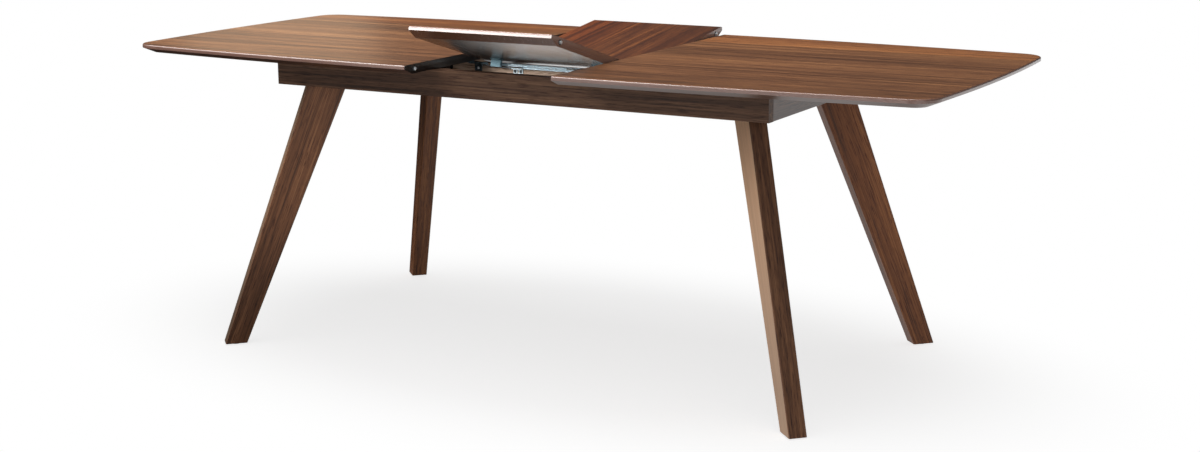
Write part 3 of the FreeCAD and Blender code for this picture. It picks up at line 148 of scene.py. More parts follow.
# %% The pattern of the grain
SLICE = 150 * MM
FIRST_JOINT = 0.37      # share of a slice by which the slices are shifted sideways
PATTERN_HOP = 5.0       # metres of pattern among which a slice's own stretch is picked
PATTERN = {             # length, width and detail of each part of the pattern
    "bend": (900 * MM, 110 * MM, 2), "streak": (620 * MM, 20 * MM, 4),
    "line": (300 * MM, 5 * MM, 4), "pore": (45 * MM, 2 * MM, 2)}
PATTERN_ROUGHNESS = 0.6


def cut_slices(tree, flat, across, slices, seed):
    """Shift each slice to its own stretch of the pattern; returns the place there and a random number."""
    number = add(tree, "Math", {"operation": "DIVIDE"}, {0: across, 1: slices})
    number = add(tree, "Math", {"operation": "ADD"}, {0: number.outputs[0], 1: FIRST_JOINT + seed})
    whole = add(tree, "Math", {"operation": "FLOOR"}, {0: number.outputs[0]})
    chance = add(tree, "TexWhiteNoise", {"noise_dimensions": "1D"}, {"W": whole.outputs[0]})
    hop = add(tree, "VectorMath", {"operation": "SCALE"}, {0: chance.outputs["Color"], "Scale": PATTERN_HOP})
    moved = add(tree, "VectorMath", {"operation": "ADD"}, {0: flat, 1: hop.outputs[0]})
    return moved.outputs[0], chance.outputs["Value"]


def draw_pattern(tree, place, fineness):
    """Draw the parts of the pattern; fineness makes the streaks and the growth lines narrower."""
    drawn_parts = {}
    for part, (length, width, detail) in PATTERN.items():
        if part in ("streak", "line"):
            width = width / fineness
        stretched = add(tree, "VectorMath", {"operation": "MULTIPLY"}, {
            0: place, 1: (1 / length, 1 / width, 1 / width)})
        noise = add(tree, "TexNoise", links={"Vector": stretched.outputs[0], "Scale": 1.0, "Detail": detail,
                                             "Roughness": PATTERN_ROUGHNESS})
        drawn_parts[part] = noise.outputs["Fac"]
    return drawn_parts


for part, (length, width, detail) in PATTERN.items():
    print("%s: %.0f mm long and %.0f mm wide" % (part, length / MM, width / MM))

# %% [markdown]
# ## The tone of the wood
# A single number, the tone, decides how dark the wood is at each point. Rings that the slow bends push
# aside give it a gentle wave, and the growth lines, streaks, bends and the slice's own chance each add
# their share, as much above the middle as below it. One number is easier to match with the photograph than
# a stack of colours, because a colour ramp then turns it into the browns of one piece.

# %% Add up the tone
RING_WIDTH = 26 * MM
BEND_PUSH = 5.0         # how many ring widths a full bend pushes the rings aside
RING_SHARE = 0.14       # how far each part of the pattern can move the tone, from end to end
LINE_SHARE, STREAK_SHARE = 1.1, 1.5
BEND_SHARE, SLICE_SHARE = 0.6, 0.3
TONE_REACH = 0.5        # tones this far from the middle are the ends of the colour ramp


def wood_tone(tree, place, pattern, chance, figure, contrast):
    """Add the parts of the pattern up to a tone from 0, darkest, to 1, palest."""
    across = add(tree, "SeparateXYZ", links={"Vector": place}).outputs["Y"]
    rings = add(tree, "Math", {"operation": "DIVIDE"}, {0: across, 1: RING_WIDTH})
    rings = add(tree, "Math", {"operation": "MULTIPLY_ADD"}, {
        0: pattern["bend"], 1: BEND_PUSH, 2: rings.outputs[0]})
    wave = add(tree, "Math", {"operation": "PINGPONG"}, {0: rings.outputs[0], 1: 1.0})
    tone = add(tree, "Math", {"operation": "MULTIPLY_ADD"}, {
        0: wave.outputs[0], 1: RING_SHARE * figure, 2: -RING_SHARE / 2 * figure})
    for source, share in ((pattern["line"], LINE_SHARE * contrast),
                          (pattern["streak"], STREAK_SHARE * contrast),
                          (pattern["bend"], BEND_SHARE * figure), (chance, SLICE_SHARE)):
        tone = add(tree, "Math", {"operation": "MULTIPLY_ADD"}, {0: source, 1: share, 2: tone.outputs[0]})
        tone = add(tree, "Math", {"operation": "SUBTRACT"}, {0: tone.outputs[0], 1: share / 2})
    tone = add(tree, "MapRange", links={
        "Value": tone.outputs[0], "From Min": -TONE_REACH, "From Max": TONE_REACH})
    return tone.outputs[0]


print("growth lines and streaks can move the tone %.1f either way" % ((LINE_SHARE + STREAK_SHARE) / 2))

# %% [markdown]
# ## One shader for each material
# A material could be mixed from several shaders, but the Principled shader already holds a base, a metal, a
# clear coat and a sheen, and it is the one that other programs read. A number that is the same all over a
# surface is set on the shader's own socket, and only what changes from place to place is linked. The
# table's lacquer has an index of refraction of 1.5 and dries satin.

# %% New material
LACQUER_IOR = 1.5
COAT_ROUGHNESS = 0.25


def new_material(name, **constants):
    """A material with one shader; constants go straight on the shader's own sockets."""
    material = bpy.data.materials.new(name)
    material.use_nodes = True
    tree = material.node_tree
    shader = tree.nodes["Principled BSDF"]
    for socket, constant in constants.items():
        shader.inputs[socket.replace("_", " ")].default_value = constant
    return material, tree, shader


print("lacquer: index of refraction %.1f, coat roughness %.2f" % (LACQUER_IOR, COAT_ROUGHNESS))

# %% [markdown]
# ## Walnut as a material
# A colour ramp turns the tone into browns, and the pores darken it. The wood is sanded and lacquered, so
# its roughness lies in the middle and changes a little from one growth line to the next, and the lines
# stand up by a fraction of a millimetre. The function hands back its parts too, because the lip of a top or
# the foot of a leg changes the colour once more. It could take those changes as more arguments, but each
# belongs to one piece only.

# %% Walnut
PORE_LIMITS = (0.54, 0.66)      # noise from which a pore starts, and at which it is full
PORE_TINT = "#9c8474"
DULLER, GLOSSIER = 0.08, 0.05   # how far the roughness changes between growth lines
LINE_RELIEF = 0.2 * MM
LINE_RELIEF_STRENGTH = 0.12


def walnut(name, tones, grain=(1, 0, 0), face=(0, 0, 1), origin=(0, 0, 0), slices=SLICE, figure=1.0,
           roughness=0.34, gloss=0.5, seed=0.0, fineness=1.0, contrast=1.0):
    """Walnut with its grain along a direction; returns the parts that a special finish needs too."""
    material, tree, shader = new_material(
        name, IOR=LACQUER_IOR, Specular_IOR_Level=gloss, Coat_Roughness=COAT_ROUGHNESS)
    turned = grain_turn(grain, face)
    place = add(tree, "TexCoord")
    flat = add(tree, "Mapping", links={
        "Vector": place.outputs["Object"], "Rotation": turned.to_euler("XYZ"),
        "Location": -(turned @ Vector(origin))}).outputs["Vector"]
    axes = add(tree, "SeparateXYZ", links={"Vector": flat})
    moved, chance = cut_slices(tree, flat, axes.outputs["Y"], slices, seed)
    pattern = draw_pattern(tree, moved, fineness)
    tone = wood_tone(tree, moved, pattern, chance, figure, contrast)
    colour = add(tree, "ValToRGB", {"stops": tones}, {"Fac": tone}).outputs["Color"]
    pores = add(tree, "MapRange", links={
        "Value": pattern["pore"], "From Min": PORE_LIMITS[0], "From Max": PORE_LIMITS[1]})
    pored = add(tree, "Mix", {"data_type": "RGBA", "blend_type": "MULTIPLY"}, {
        "Factor": pores.outputs[0], 6: colour, 7: linear(PORE_TINT)})
    shine = add(tree, "MapRange", links={
        "Value": pattern["line"], "To Min": roughness - GLOSSIER, "To Max": roughness + DULLER})
    relief = add(tree, "Bump", links={
        "Strength": LINE_RELIEF_STRENGTH, "Distance": LINE_RELIEF, "Height": pattern["line"]})
    tree.links.new(pored.outputs[2], shader.inputs["Base Color"])
    tree.links.new(shine.outputs[0], shader.inputs["Roughness"])
    tree.links.new(relief.outputs["Normal"], shader.inputs["Normal"])
    return {"material": material, "tree": tree, "shader": shader, "axes": axes, "flat": flat,
            "colour": pored.outputs[2], "line": pattern["line"]}


print("a pore keeps this much of the wood's colour:", [round(part, 2) for part in linear(PORE_TINT)[:3]])

# %% [markdown]
# ## The edges of a top
# Below the face of each top is a solid lip: an upright band, then a wide bevel that runs in under the top.
# The lip is walnut too, a little pinker. It could be a piece of its own with its own material, but one
# material that tells the parts apart by their height below the face keeps the lines between them thin and
# straight. The end face is told apart by how near it lies to the end. The band of the lip is lacquered,
# which a coat gives it: a clear second gloss over the wood's own.

# %% Lip, bevel, underside and end face
LIP_TONES = [(0.0, "#67473a"), (0.5, "#826054"), (1.0, "#9a7a6d")]
BEVEL_TONES = [(0.0, "#412518"), (0.5, "#5c3a28"), (1.0, "#78513c")]
# Heights from the face, the lower finish first.
LIP_TO_FACE = (-0.9 * MM, -0.2 * MM)
BEVEL_TO_LIP = (-10.2 * MM, -9.2 * MM)
UNDERSIDE_TO_BEVEL = (-21.9 * MM, -21.6 * MM)
# Heights from the face, first where there is no lacquer and then where it is full.
LACQUER_FROM_BEVEL = (-9.8 * MM, -9.4 * MM)
LACQUER_FROM_FACE = (-0.1 * MM, -1.0 * MM)


def lay(tree, under, over, value, low, high):
    """Lay one colour over another where a value has passed from low to high."""
    share = add(tree, "MapRange", links={"Value": value, "From Min": low, "From Max": high})
    mixed = add(tree, "Mix", {"data_type": "RGBA"}, {"Factor": share.outputs[0], 6: under, 7: over})
    return mixed.outputs[2]


def panel_edges(wood, toward_end, end_limits, end_colour, under_colour):
    """Dress the lip, the bevel, the underside and the end face of a top, and lacquer its band."""
    tree, height = wood["tree"], wood["axes"].outputs["Z"]
    lip, bevel = [add(tree, "ValToRGB", {"stops": tones}, {"Fac": wood["line"]}).outputs["Color"]
                  for tones in (LIP_TONES, BEVEL_TONES)]
    colour = lay(tree, lip, wood["colour"], height, *LIP_TO_FACE)
    colour = lay(tree, bevel, colour, height, *BEVEL_TO_LIP)
    colour = lay(tree, under_colour, colour, height, *UNDERSIDE_TO_BEVEL)
    colour = lay(tree, colour, end_colour, toward_end, *end_limits)
    tree.links.new(colour, wood["shader"].inputs["Base Color"])
    above_bevel, below_face = [
        add(tree, "MapRange", links={"Value": height, "From Min": none, "From Max": full}).outputs[0]
        for none, full in (LACQUER_FROM_BEVEL, LACQUER_FROM_FACE)]
    lacquer = add(tree, "Math", {"operation": "MULTIPLY"}, {0: above_bevel, 1: below_face})
    tree.links.new(lacquer.outputs[0], wood["shader"].inputs["Coat Weight"])
    wood["lacquer"] = lacquer.outputs[0]


print("the lacquered band is %.1f mm high" % ((LACQUER_FROM_FACE[0] - LACQUER_FROM_BEVEL[0]) / MM))

# %% [markdown]
# ## A knot
# The left half top has one small knot, where a twig once grew: a dark spot that the grain stretches. A
# round spot on a picture would need the same stretching. Here the distance from the knot's heart is
# measured with the grain direction squeezed, so an oval comes out by itself.

# %% Knot
KNOT_PLACE = (-0.775, 0.165, 0.0)
KNOT_REACH_ALONG, KNOT_REACH_ACROSS = 38 * MM, 11 * MM
KNOT_LIMITS = (0.35, 1.0)       # shares of the reach: all dark, and no longer dark
KNOT_TINT = (0.42, 0.36, 0.34)


def add_knot(wood, colour):
    """Darken the wood round one place, further along the grain than across it."""
    tree = wood["tree"]
    spot = add(tree, "VectorMath", {"operation": "SUBTRACT"}, {0: wood["flat"], 1: KNOT_PLACE})
    spot = add(tree, "VectorMath", {"operation": "MULTIPLY"}, {
        0: spot.outputs[0], 1: (1 / KNOT_REACH_ALONG, 1 / KNOT_REACH_ACROSS, 0)})
    ring = add(tree, "VectorMath", {"operation": "LENGTH"}, {0: spot.outputs[0]})
    heart = add(tree, "VectorMath", {"operation": "MULTIPLY"}, {0: colour, 1: KNOT_TINT})
    return lay(tree, heart.outputs[0], colour, ring.outputs["Value"], *KNOT_LIMITS)


print("the dark heart of the knot is %.0f mm long" % (2 * KNOT_LIMITS[0] * KNOT_REACH_ALONG / MM))

# %% [markdown]
# ## Put a material on a piece of the frame
# The frame's pieces come with plain materials in their slots. Their meshes stay as they are, and only the
# slots are filled anew. A node without a slot gets one.

# %% Dress a node
def dress(material, *names):
    """Put a material on CAD nodes."""
    for name in names:
        slots = nodes[name].data.materials
        if not len(slots):
            slots.append(material)
        for slot in range(len(slots)):
            slots[slot] = material
    print(material.name, "on", ", ".join(names))


print("slots of the left half top:", len(nodes["left_top_panel"].data.materials))

# %% [markdown]
# ## The faces of the half tops
# Both half tops are veneered with the grain along the table. Where two sheets of veneer meet, a thin
# darker line runs the whole length. The lines lie where the photograph shows them, and the slices of the
# pattern change beside them. The sheet at the back is paler on the right half. On the left half a painted
# shade makes it a darker, redder brown where less sheen reaches the back. The split face, where the two
# halves meet, is end grain that drinks stain, and it is also painted nearly black for the shade it lies in.
# The joints could be painted into a picture, but a distance from a line draws them at any size.

# %% Finish of the half tops
FACE_HEIGHT = 0.75
SPLIT = 0.1955
SPLIT_LIMITS = (-SPLIT - 0.3 * MM, -SPLIT - 0.1 * MM)   # along X, rising towards the table's middle
# The split face is end grain stain plus painted shade, nearly black.
SPLIT_STAIN_AND_SHADE, UNDERSIDE_BROWN = "#0e0806", "#4a3226"
TOP_TONES = [(0.0, "#432a1b"), (0.35, "#724a2f"), (0.65, "#8a5c3b"), (1.0, "#b07d50")]
SIDES = {"left": -1, "right": 1}
BACK_SHEET_LIMITS = (0.285, 0.289)      # along Y, where the back sheet's tint starts and is full
# Tint of the back sheet: a paler slice on the right, and a painted shade on the left, darker and redder.
BACK_SHEET_TINTS_AND_SHADE = {"left": (0.9, 0.74, 0.62), "right": (1.3, 1.16, 0.97)}
SHEET_JOINTS = (0.276, 0.118, -0.176)
JOINT_LIMITS = (2 * MM, 9 * MM)         # distance from a joint: all dark, and no longer dark
JOINT_TINT = (0.6, 0.56, 0.54)


def top_finish(side_name, seed):
    """The finish of the left or the right half top."""
    wood = walnut(side_name + "_top_walnut", TOP_TONES, origin=(0, 0, FACE_HEIGHT), seed=seed)
    tree, across = wood["tree"], wood["axes"].outputs["Y"]
    back_tint_and_shade = add(tree, "VectorMath", {"operation": "MULTIPLY"}, {
        0: wood["colour"], 1: BACK_SHEET_TINTS_AND_SHADE[side_name]})
    colour = lay(tree, wood["colour"], back_tint_and_shade.outputs[0], across, *BACK_SHEET_LIMITS)
    for joint in SHEET_JOINTS:
        offset = add(tree, "Math", {"operation": "SUBTRACT"}, {0: across, 1: joint})
        offset = add(tree, "Math", {"operation": "ABSOLUTE"}, {0: offset.outputs[0]})
        seam = add(tree, "VectorMath", {"operation": "MULTIPLY"}, {0: colour, 1: JOINT_TINT})
        colour = lay(tree, seam.outputs[0], colour, offset.outputs[0], *JOINT_LIMITS)
    wood["colour"] = add_knot(wood, colour) if side_name == "left" else colour
    inward = add(tree, "Math", {"operation": "MULTIPLY"}, {
        0: wood["axes"].outputs["X"], 1: -SIDES[side_name]})
    panel_edges(wood, inward.outputs[0], SPLIT_LIMITS, linear(SPLIT_STAIN_AND_SHADE), linear(UNDERSIDE_BROWN))
    return wood["material"]


dress(top_finish("left", 0.0), "left_top_panel")
dress(top_finish("right", 0.43), "right_top_panel")

# %% [markdown]
# ## The leaf
# The leaf's grain runs across the table, so on both halves it points from the seam to the outer edge, and
# it runs on from one half into the other, because both are drawn from the seam with the same slices. A
# painted light makes it paler and more orange towards its left end. The far half lies seam down at a small
# tilt and shows its face, a redder slice of walnut. The near half shows its underside, a plainer backing
# veneer with a painted reflection on it that leaves its left end dark and makes it pale towards its right
# end. Each half could be dressed lying flat and then turned, but the frame holds it in its place, so the
# grain frame is tilted with it instead.

# %% Finish of the leaf
FAR_TILT, NEAR_TILT = math.radians(7.25), math.radians(-16.35)
SEAM = (0, -0.002454, 0.714490)     # where the seam lies while the leaf is half raised
LEAF_END = 0.19
LEAF_END_LIMITS = (LEAF_END - 0.2 * MM, LEAF_END - 0.05 * MM)
LEAF_END_BROWN = "#86675a"
LEAF_TONES = [(0.0, "#2d1307"), (0.35, "#4e260f"), (0.65, "#673819"), (1.0, "#8a5225")]
FAR_UNDER_TONES = [(0.0, "#3a2a22"), (0.5, "#57443a"), (1.0, "#75635a")]
# Underside tones of the leaf halves; the near one's grey tan is partly a painted reflection.
NEAR_UNDER_TONES = [(0.25, "#2b201b"), (0.5, "#57463d"), (0.75, "#8b7c73")]
# Places along the leaf's own Y, which points to the left end of the table.
# Painted light: the leaf gets paler and more orange towards its left end.
LEFT_END_LIGHT_LIMITS = (0.02, 0.15)
LEFT_END_PAINTED_LIGHT = (1.6, 1.3, 0.9)
# Painted reflection on the underside: dark at the left end, up to 3.6 times paler towards the right end.
PAINTED_REFLECTION_LIMITS = (0.13, -0.17)
PAINTED_REFLECTION_SHADES = (0.45, 3.6)


def leaf_finish(name, tilt, under_tones, roughness):
    """The finish of a leaf half whose face is tilted about the seam; returns its wood."""
    grain = (0, math.cos(tilt), math.sin(tilt))
    face = (0, -math.sin(tilt), math.cos(tilt))
    wood = walnut(name, LEAF_TONES, grain=grain, face=face, origin=SEAM, seed=0.11, slices=130 * MM,
                  roughness=roughness, fineness=2.0, contrast=1.2)
    tree, leftward = wood["tree"], wood["axes"].outputs["Y"]
    under = add(tree, "ValToRGB", {"stops": under_tones}, {"Fac": wood["line"]}).outputs["Color"]
    painted_reflection = add(tree, "MapRange", {"interpolation_type": "SMOOTHSTEP"}, {
        "Value": leftward, "From Min": PAINTED_REFLECTION_LIMITS[0], "From Max": PAINTED_REFLECTION_LIMITS[1],
        "To Min": PAINTED_REFLECTION_SHADES[0], "To Max": PAINTED_REFLECTION_SHADES[1]})
    under = add(tree, "VectorMath", {"operation": "SCALE"}, {0: under, "Scale": painted_reflection.outputs[0]})
    lit_left_end = add(tree, "VectorMath", {"operation": "MULTIPLY"}, {0: wood["colour"], 1: LEFT_END_PAINTED_LIGHT})
    wood["colour"] = lay(tree, wood["colour"], lit_left_end.outputs[0], leftward, *LEFT_END_LIGHT_LIMITS)
    from_middle = add(tree, "Math", {"operation": "ABSOLUTE"}, {0: leftward})
    panel_edges(wood, from_middle.outputs[0], LEAF_END_LIMITS, linear(LEAF_END_BROWN), under.outputs[0])
    return wood


far_wood = leaf_finish("far_leaf_walnut", FAR_TILT, FAR_UNDER_TONES, roughness=0.4)
near_wood = leaf_finish("near_leaf_walnut", NEAR_TILT, NEAR_UNDER_TONES, roughness=0.24)
dress(far_wood["material"], "far_leaf_panel")
dress(near_wood["material"], "near_leaf_panel")

# %% [markdown]
# ## The seal under the near half
# The raised near half turns its underside to the front, and a satin seal on it catches the light, except
# towards its left end. The underside could get a glossier material of its own, but a coat of the lacquer
# that the band already has, laid on below the bevel, does it with the same shader.

# %% Seal the underside
SEAL_LIMITS = (0.12, -0.04)     # along the leaf's own Y: where there is no seal, and where it is full


def seal_underside(wood):
    """Add the satin seal of the near half's underside, which fades towards its left end."""
    tree = wood["tree"]
    below_bevel, sealed = [
        add(tree, "MapRange", links={"Value": value, "From Min": none, "From Max": full}).outputs[0]
        for value, (none, full) in ((wood["axes"].outputs["Z"], UNDERSIDE_TO_BEVEL[::-1]),
                                    (wood["axes"].outputs["Y"], SEAL_LIMITS))]
    coat = add(tree, "Math", {"operation": "MULTIPLY_ADD"}, {
        0: below_bevel, 1: sealed, 2: wood["lacquer"]})
    tree.links.new(coat.outputs[0], wood["shader"].inputs["Coat Weight"])


seal_underside(near_wood)
print("the seal is full from %.0f mm off the left end" % ((LEAF_END - SEAL_LIMITS[1]) / MM))

# %% [markdown]
# ## Aprons
# The aprons are veneered too, in a darker stain, with the grain along each board. The end aprons run
# across the table, so their grain turns with them. One material could serve all four, but in the end
# aprons its grain would then run through the board instead of along it. The long aprons are duller than the
# end ones, because a glossy front apron would mirror the low lamp in front of it and turn grey.

# %% Finish of the aprons
APRON_TONES = [(0.0, "#2f1d15"), (0.4, "#513727"), (0.7, "#684935"), (1.0, "#826047")]
APRON_SLICE = 400 * MM
apron_wood = walnut("apron_walnut", APRON_TONES, face=(0, -1, 0), slices=APRON_SLICE, figure=0.7, seed=0.2,
                    roughness=0.5, gloss=0.35, fineness=1.7, contrast=1.2)
end_apron_wood = walnut("end_apron_walnut", APRON_TONES, grain=(0, 1, 0), face=(1, 0, 0),
                        slices=APRON_SLICE, figure=0.7, roughness=0.3, seed=0.6, fineness=1.7)
dress(apron_wood["material"], "front_apron", "rear_apron")
dress(end_apron_wood["material"], "left_end_apron", "right_end_apron")

# %% [markdown]
# ## Sapwood and painted light
# The outer rings of a walnut trunk, next to the bark, are sapwood and nearly tan. On the front pair of
# legs the face that looks out to the left, towards the key light, is given a pale tan that is partly
# sapwood and partly painted light, and a painted light makes it paler from the foot to the head. The leg
# could be cut into faces with a material each, but its mesh belongs to the frame and stays as it is, so the
# True Normal of the Geometry node picks that face out.

# %% Sapwood and painted light on the front legs
SAPWOOD_AND_LIGHT_TONES = [(0.0, "#a68064"), (0.5, "#c49c7c"), (1.0, "#dcb896")]
SAPWOOD_AND_LIGHT_FACE = (-0.707, -0.707, 0)
SAPWOOD_AND_LIGHT_LIMITS = (0.8, 0.9)     # how squarely a face has to look that way
# Painted light on that face, at the foot and at the head of each front leg.
SAPWOOD_PAINTED_LIGHT = {"left": (0.35, 0.7), "right": (0.65, 1.3)}
PAINTED_LIGHT_LENGTHS = (0.1, 0.6)     # along the leg, from the foot


def add_sapwood_and_light(wood, colour, foot_shade, head_shade):
    """Turn the leg's outer left face to sapwood with painted light, and paint it paler from the foot to the
    head.
    """
    tree = wood["tree"]
    sapwood = add(tree, "ValToRGB", {"stops": SAPWOOD_AND_LIGHT_TONES}, {"Fac": wood["line"]})
    painted_light = add(tree, "MapRange", links={
        "Value": wood["axes"].outputs["X"], "From Min": PAINTED_LIGHT_LENGTHS[0], "From Max": PAINTED_LIGHT_LENGTHS[1],
        "To Min": foot_shade, "To Max": head_shade})
    sapwood = add(tree, "VectorMath", {"operation": "SCALE"}, {
        0: sapwood.outputs["Color"], "Scale": painted_light.outputs[0]})
    face = add(tree, "NewGeometry")
    outward = add(tree, "VectorMath", {"operation": "DOT_PRODUCT"}, {
        0: face.outputs["True Normal"], 1: SAPWOOD_AND_LIGHT_FACE})
    return lay(tree, colour, sapwood.outputs[0], outward.outputs["Value"], *SAPWOOD_AND_LIGHT_LIMITS)


print("sapwood starts %.0f degrees off square" % math.degrees(math.acos(SAPWOOD_AND_LIGHT_LIMITS[0])))

# %% [markdown]
# ## Legs
# Each leg is a tapered stick of solid walnut that leans out along the diagonal of its corner, turned
# 45 degrees. One grain direction could serve all four, but then the grain would run out of the sides of
# the taper, so each leg gets its own grain frame from the foot's centre to the head's centre. Each leg has
# a tint of its own and is darker towards its foot by a share of its own, which fades part of the way up.

# %% Finish of the legs
FOOT = Vector((0.771, 0.410, 0.0))      # centres of the rear right leg's foot and head
HEAD = Vector((0.580, 0.238, 0.662))
ROWS = {"front": -1, "rear": 1}
LEG_TONES = [(0.0, "#3a2215"), (0.35, "#643f29"), (0.65, "#794f35"), (1.0, "#97694a")]
# For each leg, the shade at its foot and the tint all over.
LEG_TINTS = {("front", "left"): (0.5, (1.5, 1.5, 1.42)), ("front", "right"): (1.0, (0.76, 0.76, 0.7)),
             ("rear", "left"): (0.9, (1.14, 1.05, 0.88)), ("rear", "right"): (0.85, (1.7, 1.5, 1.2))}
SHADE_LENGTHS = (0.05, 0.45)    # where the shade starts to fade and where it ends, from the foot


def leg_finish(row_name, side_name):
    """The finish of one leg."""
    row, side = ROWS[row_name], SIDES[side_name]
    foot_shade, tint = LEG_TINTS[row_name, side_name]
    foot = Vector((FOOT.x * side, FOOT.y * row, 0))
    head = Vector((HEAD.x * side, HEAD.y * row, HEAD.z))
    wood = walnut("%s_%s_leg_walnut" % (row_name, side_name), LEG_TONES, grain=head - foot,
                  face=(1, -1, 0), origin=foot, slices=300 * MM, figure=1.6, roughness=0.45, gloss=0.4,
                  seed=0.3 * row + 0.17 * side, fineness=1.7, contrast=1.2)
    tree = wood["tree"]
    shade = add(tree, "MapRange", {"interpolation_type": "SMOOTHSTEP"}, {
        "Value": wood["axes"].outputs["X"], "From Min": SHADE_LENGTHS[0], "From Max": SHADE_LENGTHS[1],
        "To Min": foot_shade, "To Max": 1.0})
    colour = add(tree, "VectorMath", {"operation": "MULTIPLY"}, {0: wood["colour"], 1: tint}).outputs[0]
    if row_name == "front":
        colour = add_sapwood_and_light(wood, colour, *SAPWOOD_PAINTED_LIGHT[side_name])
    colour = add(tree, "VectorMath", {"operation": "SCALE"}, {0: colour, "Scale": shade.outputs[0]})
    tree.links.new(colour.outputs[0], wood["shader"].inputs["Base Color"])
    return wood["material"]


for row_name, side_name in LEG_TINTS:
    dress(leg_finish(row_name, side_name), "%s_%s_leg" % (row_name, side_name))

# %% [markdown]
# ## Wood inside the frame
# The bearers and cross rails are plain hardwood with a thin brown stain, and the cleats and corner blocks
# are stained nearly black. They show through the opening between the tops. The dowels that hold the aprons
# are raw beech. All of them are sawn and sanded but not lacquered, so they are rough and their figure is
# quiet. Each could be one flat brown, but the walnut routine draws them as easily, with its slices wider
# than the pieces.

# %% Finish of the inner wood
INNER_SLICE = 500 * MM
BEARER_TONES = [(0.0, "#8f7867"), (0.4, "#b59b86"), (0.7, "#c9b09a"), (1.0, "#dcc5af")]
CLEAT_TONES = [(0.0, "#150d0a"), (0.5, "#241711"), (1.0, "#3a271e")]
DOWEL_TONES = [(0.0, "#b08a5e"), (0.5, "#c39d70"), (1.0, "#d4b287")]
LENGTHWISE = {"grain": (1, 0, 0), "face": (0, -1, 0)}
CROSSWISE = {"grain": (0, 1, 0), "face": (0, 0, 1)}


def inner_wood(name, tones, directions, figure=0.4, gloss=0.3):
    """Plain hardwood for a piece inside the frame."""
    wood = walnut(name, tones, slices=INNER_SLICE, figure=figure, roughness=0.6, gloss=gloss, **directions)
    return wood["material"]


dress(inner_wood("bearer_hardwood", BEARER_TONES, LENGTHWISE), "front_beam", "rear_beam")
dress(inner_wood("cross_rail_hardwood", BEARER_TONES, CROSSWISE), "cross_rails")
dress(inner_wood("cleat_hardwood", CLEAT_TONES, LENGTHWISE), "corner_blocks", "left_front_cleat",
      "left_rear_cleat", "right_front_cleat", "right_rear_cleat")
dress(inner_wood("apron_dowel_beech", DOWEL_TONES, CROSSWISE, figure=0.2, gloss=0.5), "apron_dowels")

# %% [markdown]
# ## A routine for metals
# The rail and the brackets are pressed steel with a zinc plating, and rods and pins are drawn and turned.
# A metal could be one even colour, but plating is never even: it clouds over a few millimetres, and drawn
# metal carries fine lines. Noise on the object's own coordinates draws both, as round clouds or stretched
# to lines, and moves the colour, the roughness and a very shallow relief together.

# %% Metal routine
CLOUD_STOPS = (0.3, 0.7)            # noise at which the dark and the light colour stand
SMOOTHER, ROUGHER = 0.07, 0.1       # how far the clouds change the roughness
PLATING_RELIEF = 0.05 * MM
PLATING_RELIEF_STRENGTH = 0.1


def plated(name, dark, light, cloud_mm, roughness, stretch=(1, 1, 1), metallic=1.0):
    """A metal with soft clouds or drawn lines in its plating."""
    material, tree, shader = new_material(name, Metallic=metallic)
    place = add(tree, "TexCoord")
    sized = add(tree, "VectorMath", {"operation": "MULTIPLY"}, {
        0: place.outputs["Object"], 1: [s / (cloud_mm * MM) for s in stretch]})
    cloud = add(tree, "TexNoise", links={
        "Vector": sized.outputs[0], "Scale": 1.0, "Detail": 3.0}).outputs["Fac"]
    plating = add(tree, "ValToRGB", {"stops": list(zip(CLOUD_STOPS, (dark, light)))}, {"Fac": cloud})
    dull = add(tree, "MapRange", links={
        "Value": cloud, "To Min": roughness - SMOOTHER, "To Max": roughness + ROUGHER})
    relief = add(tree, "Bump", links={
        "Strength": PLATING_RELIEF_STRENGTH, "Distance": PLATING_RELIEF, "Height": cloud})
    tree.links.new(plating.outputs["Color"], shader.inputs["Base Color"])
    tree.links.new(dull.outputs[0], shader.inputs["Roughness"])
    tree.links.new(relief.outputs["Normal"], shader.inputs["Normal"])
    return material


print("plating stands up by at most %.3f mm" % (PLATING_RELIEF_STRENGTH * PLATING_RELIEF / MM))

# %% [markdown]
# ## Zinc-plated and blackened steel
# Pressed steel parts are dipped in zinc, which looks bluish and faintly cloudy, and goes from nearly white
# when fresh to a dull grey where it has been handled or passivated. The slides are blackened so that they
# vanish in the shade. All clouds are 5 or 6 mm across.

# %% Zinc and black steel
# Fresh zinc: pale, bluish and half matt, with a chalky bloom that makes it look only part metal.
dress(plated("zinc_plated_steel", "#d4ebf4", "#f2fbff", 6, 0.48, metallic=0.3), "front_stop_rail",
      "slotted_brackets")
# Old zinc: a dull blue-grey that shows no mirror image.
dress(plated("dull_zinc_steel", "#647d87", "#809aa3", 5, 0.5), "near_leaf_feet")
# Passivated zinc: dark slate with a soft shine.
dress(plated("dark_zinc_steel", "#4a5961", "#788a93", 5, 0.4), "left_stop_bracket", "right_stop_bracket")
# Bright zinc: light blue-grey with a soft shine.
dress(plated("bracket_zinc", "#93a7ae", "#c5d4d9", 5, 0.4), "pivot_brackets", "far_leaf_ears",
      "left_ball_cages", "right_ball_cages")
# Blackened steel: so dark that only its edges catch light.
dress(plated("blackened_slide_steel", "#141415", "#262729", 5, 0.45), "left_slide_channels",
      "right_slide_channels", "left_front_slide_runner", "left_rear_slide_runner", "right_front_slide_runner",
      "right_rear_slide_runner")

# %% [markdown]
# ## Drawn, turned and polished metal
# Small turned and drawn parts have finer marks than pressed ones. The rods carry lines along their length,
# which the same noise gives when it is drawn out fifty times along X, and the rest have clouds of about 1
# to 3 mm. The pins are nearly as pale as fresh zinc, satin from the lathe.

# %% Rods, screws, hinges, balls and pins
ALONG_ROD = (0.02, 1, 1)
pin_steel = plated("pin_turned_steel", "#c9d0d4", "#f0f4f5", 0.8, 0.35, metallic=0.6)
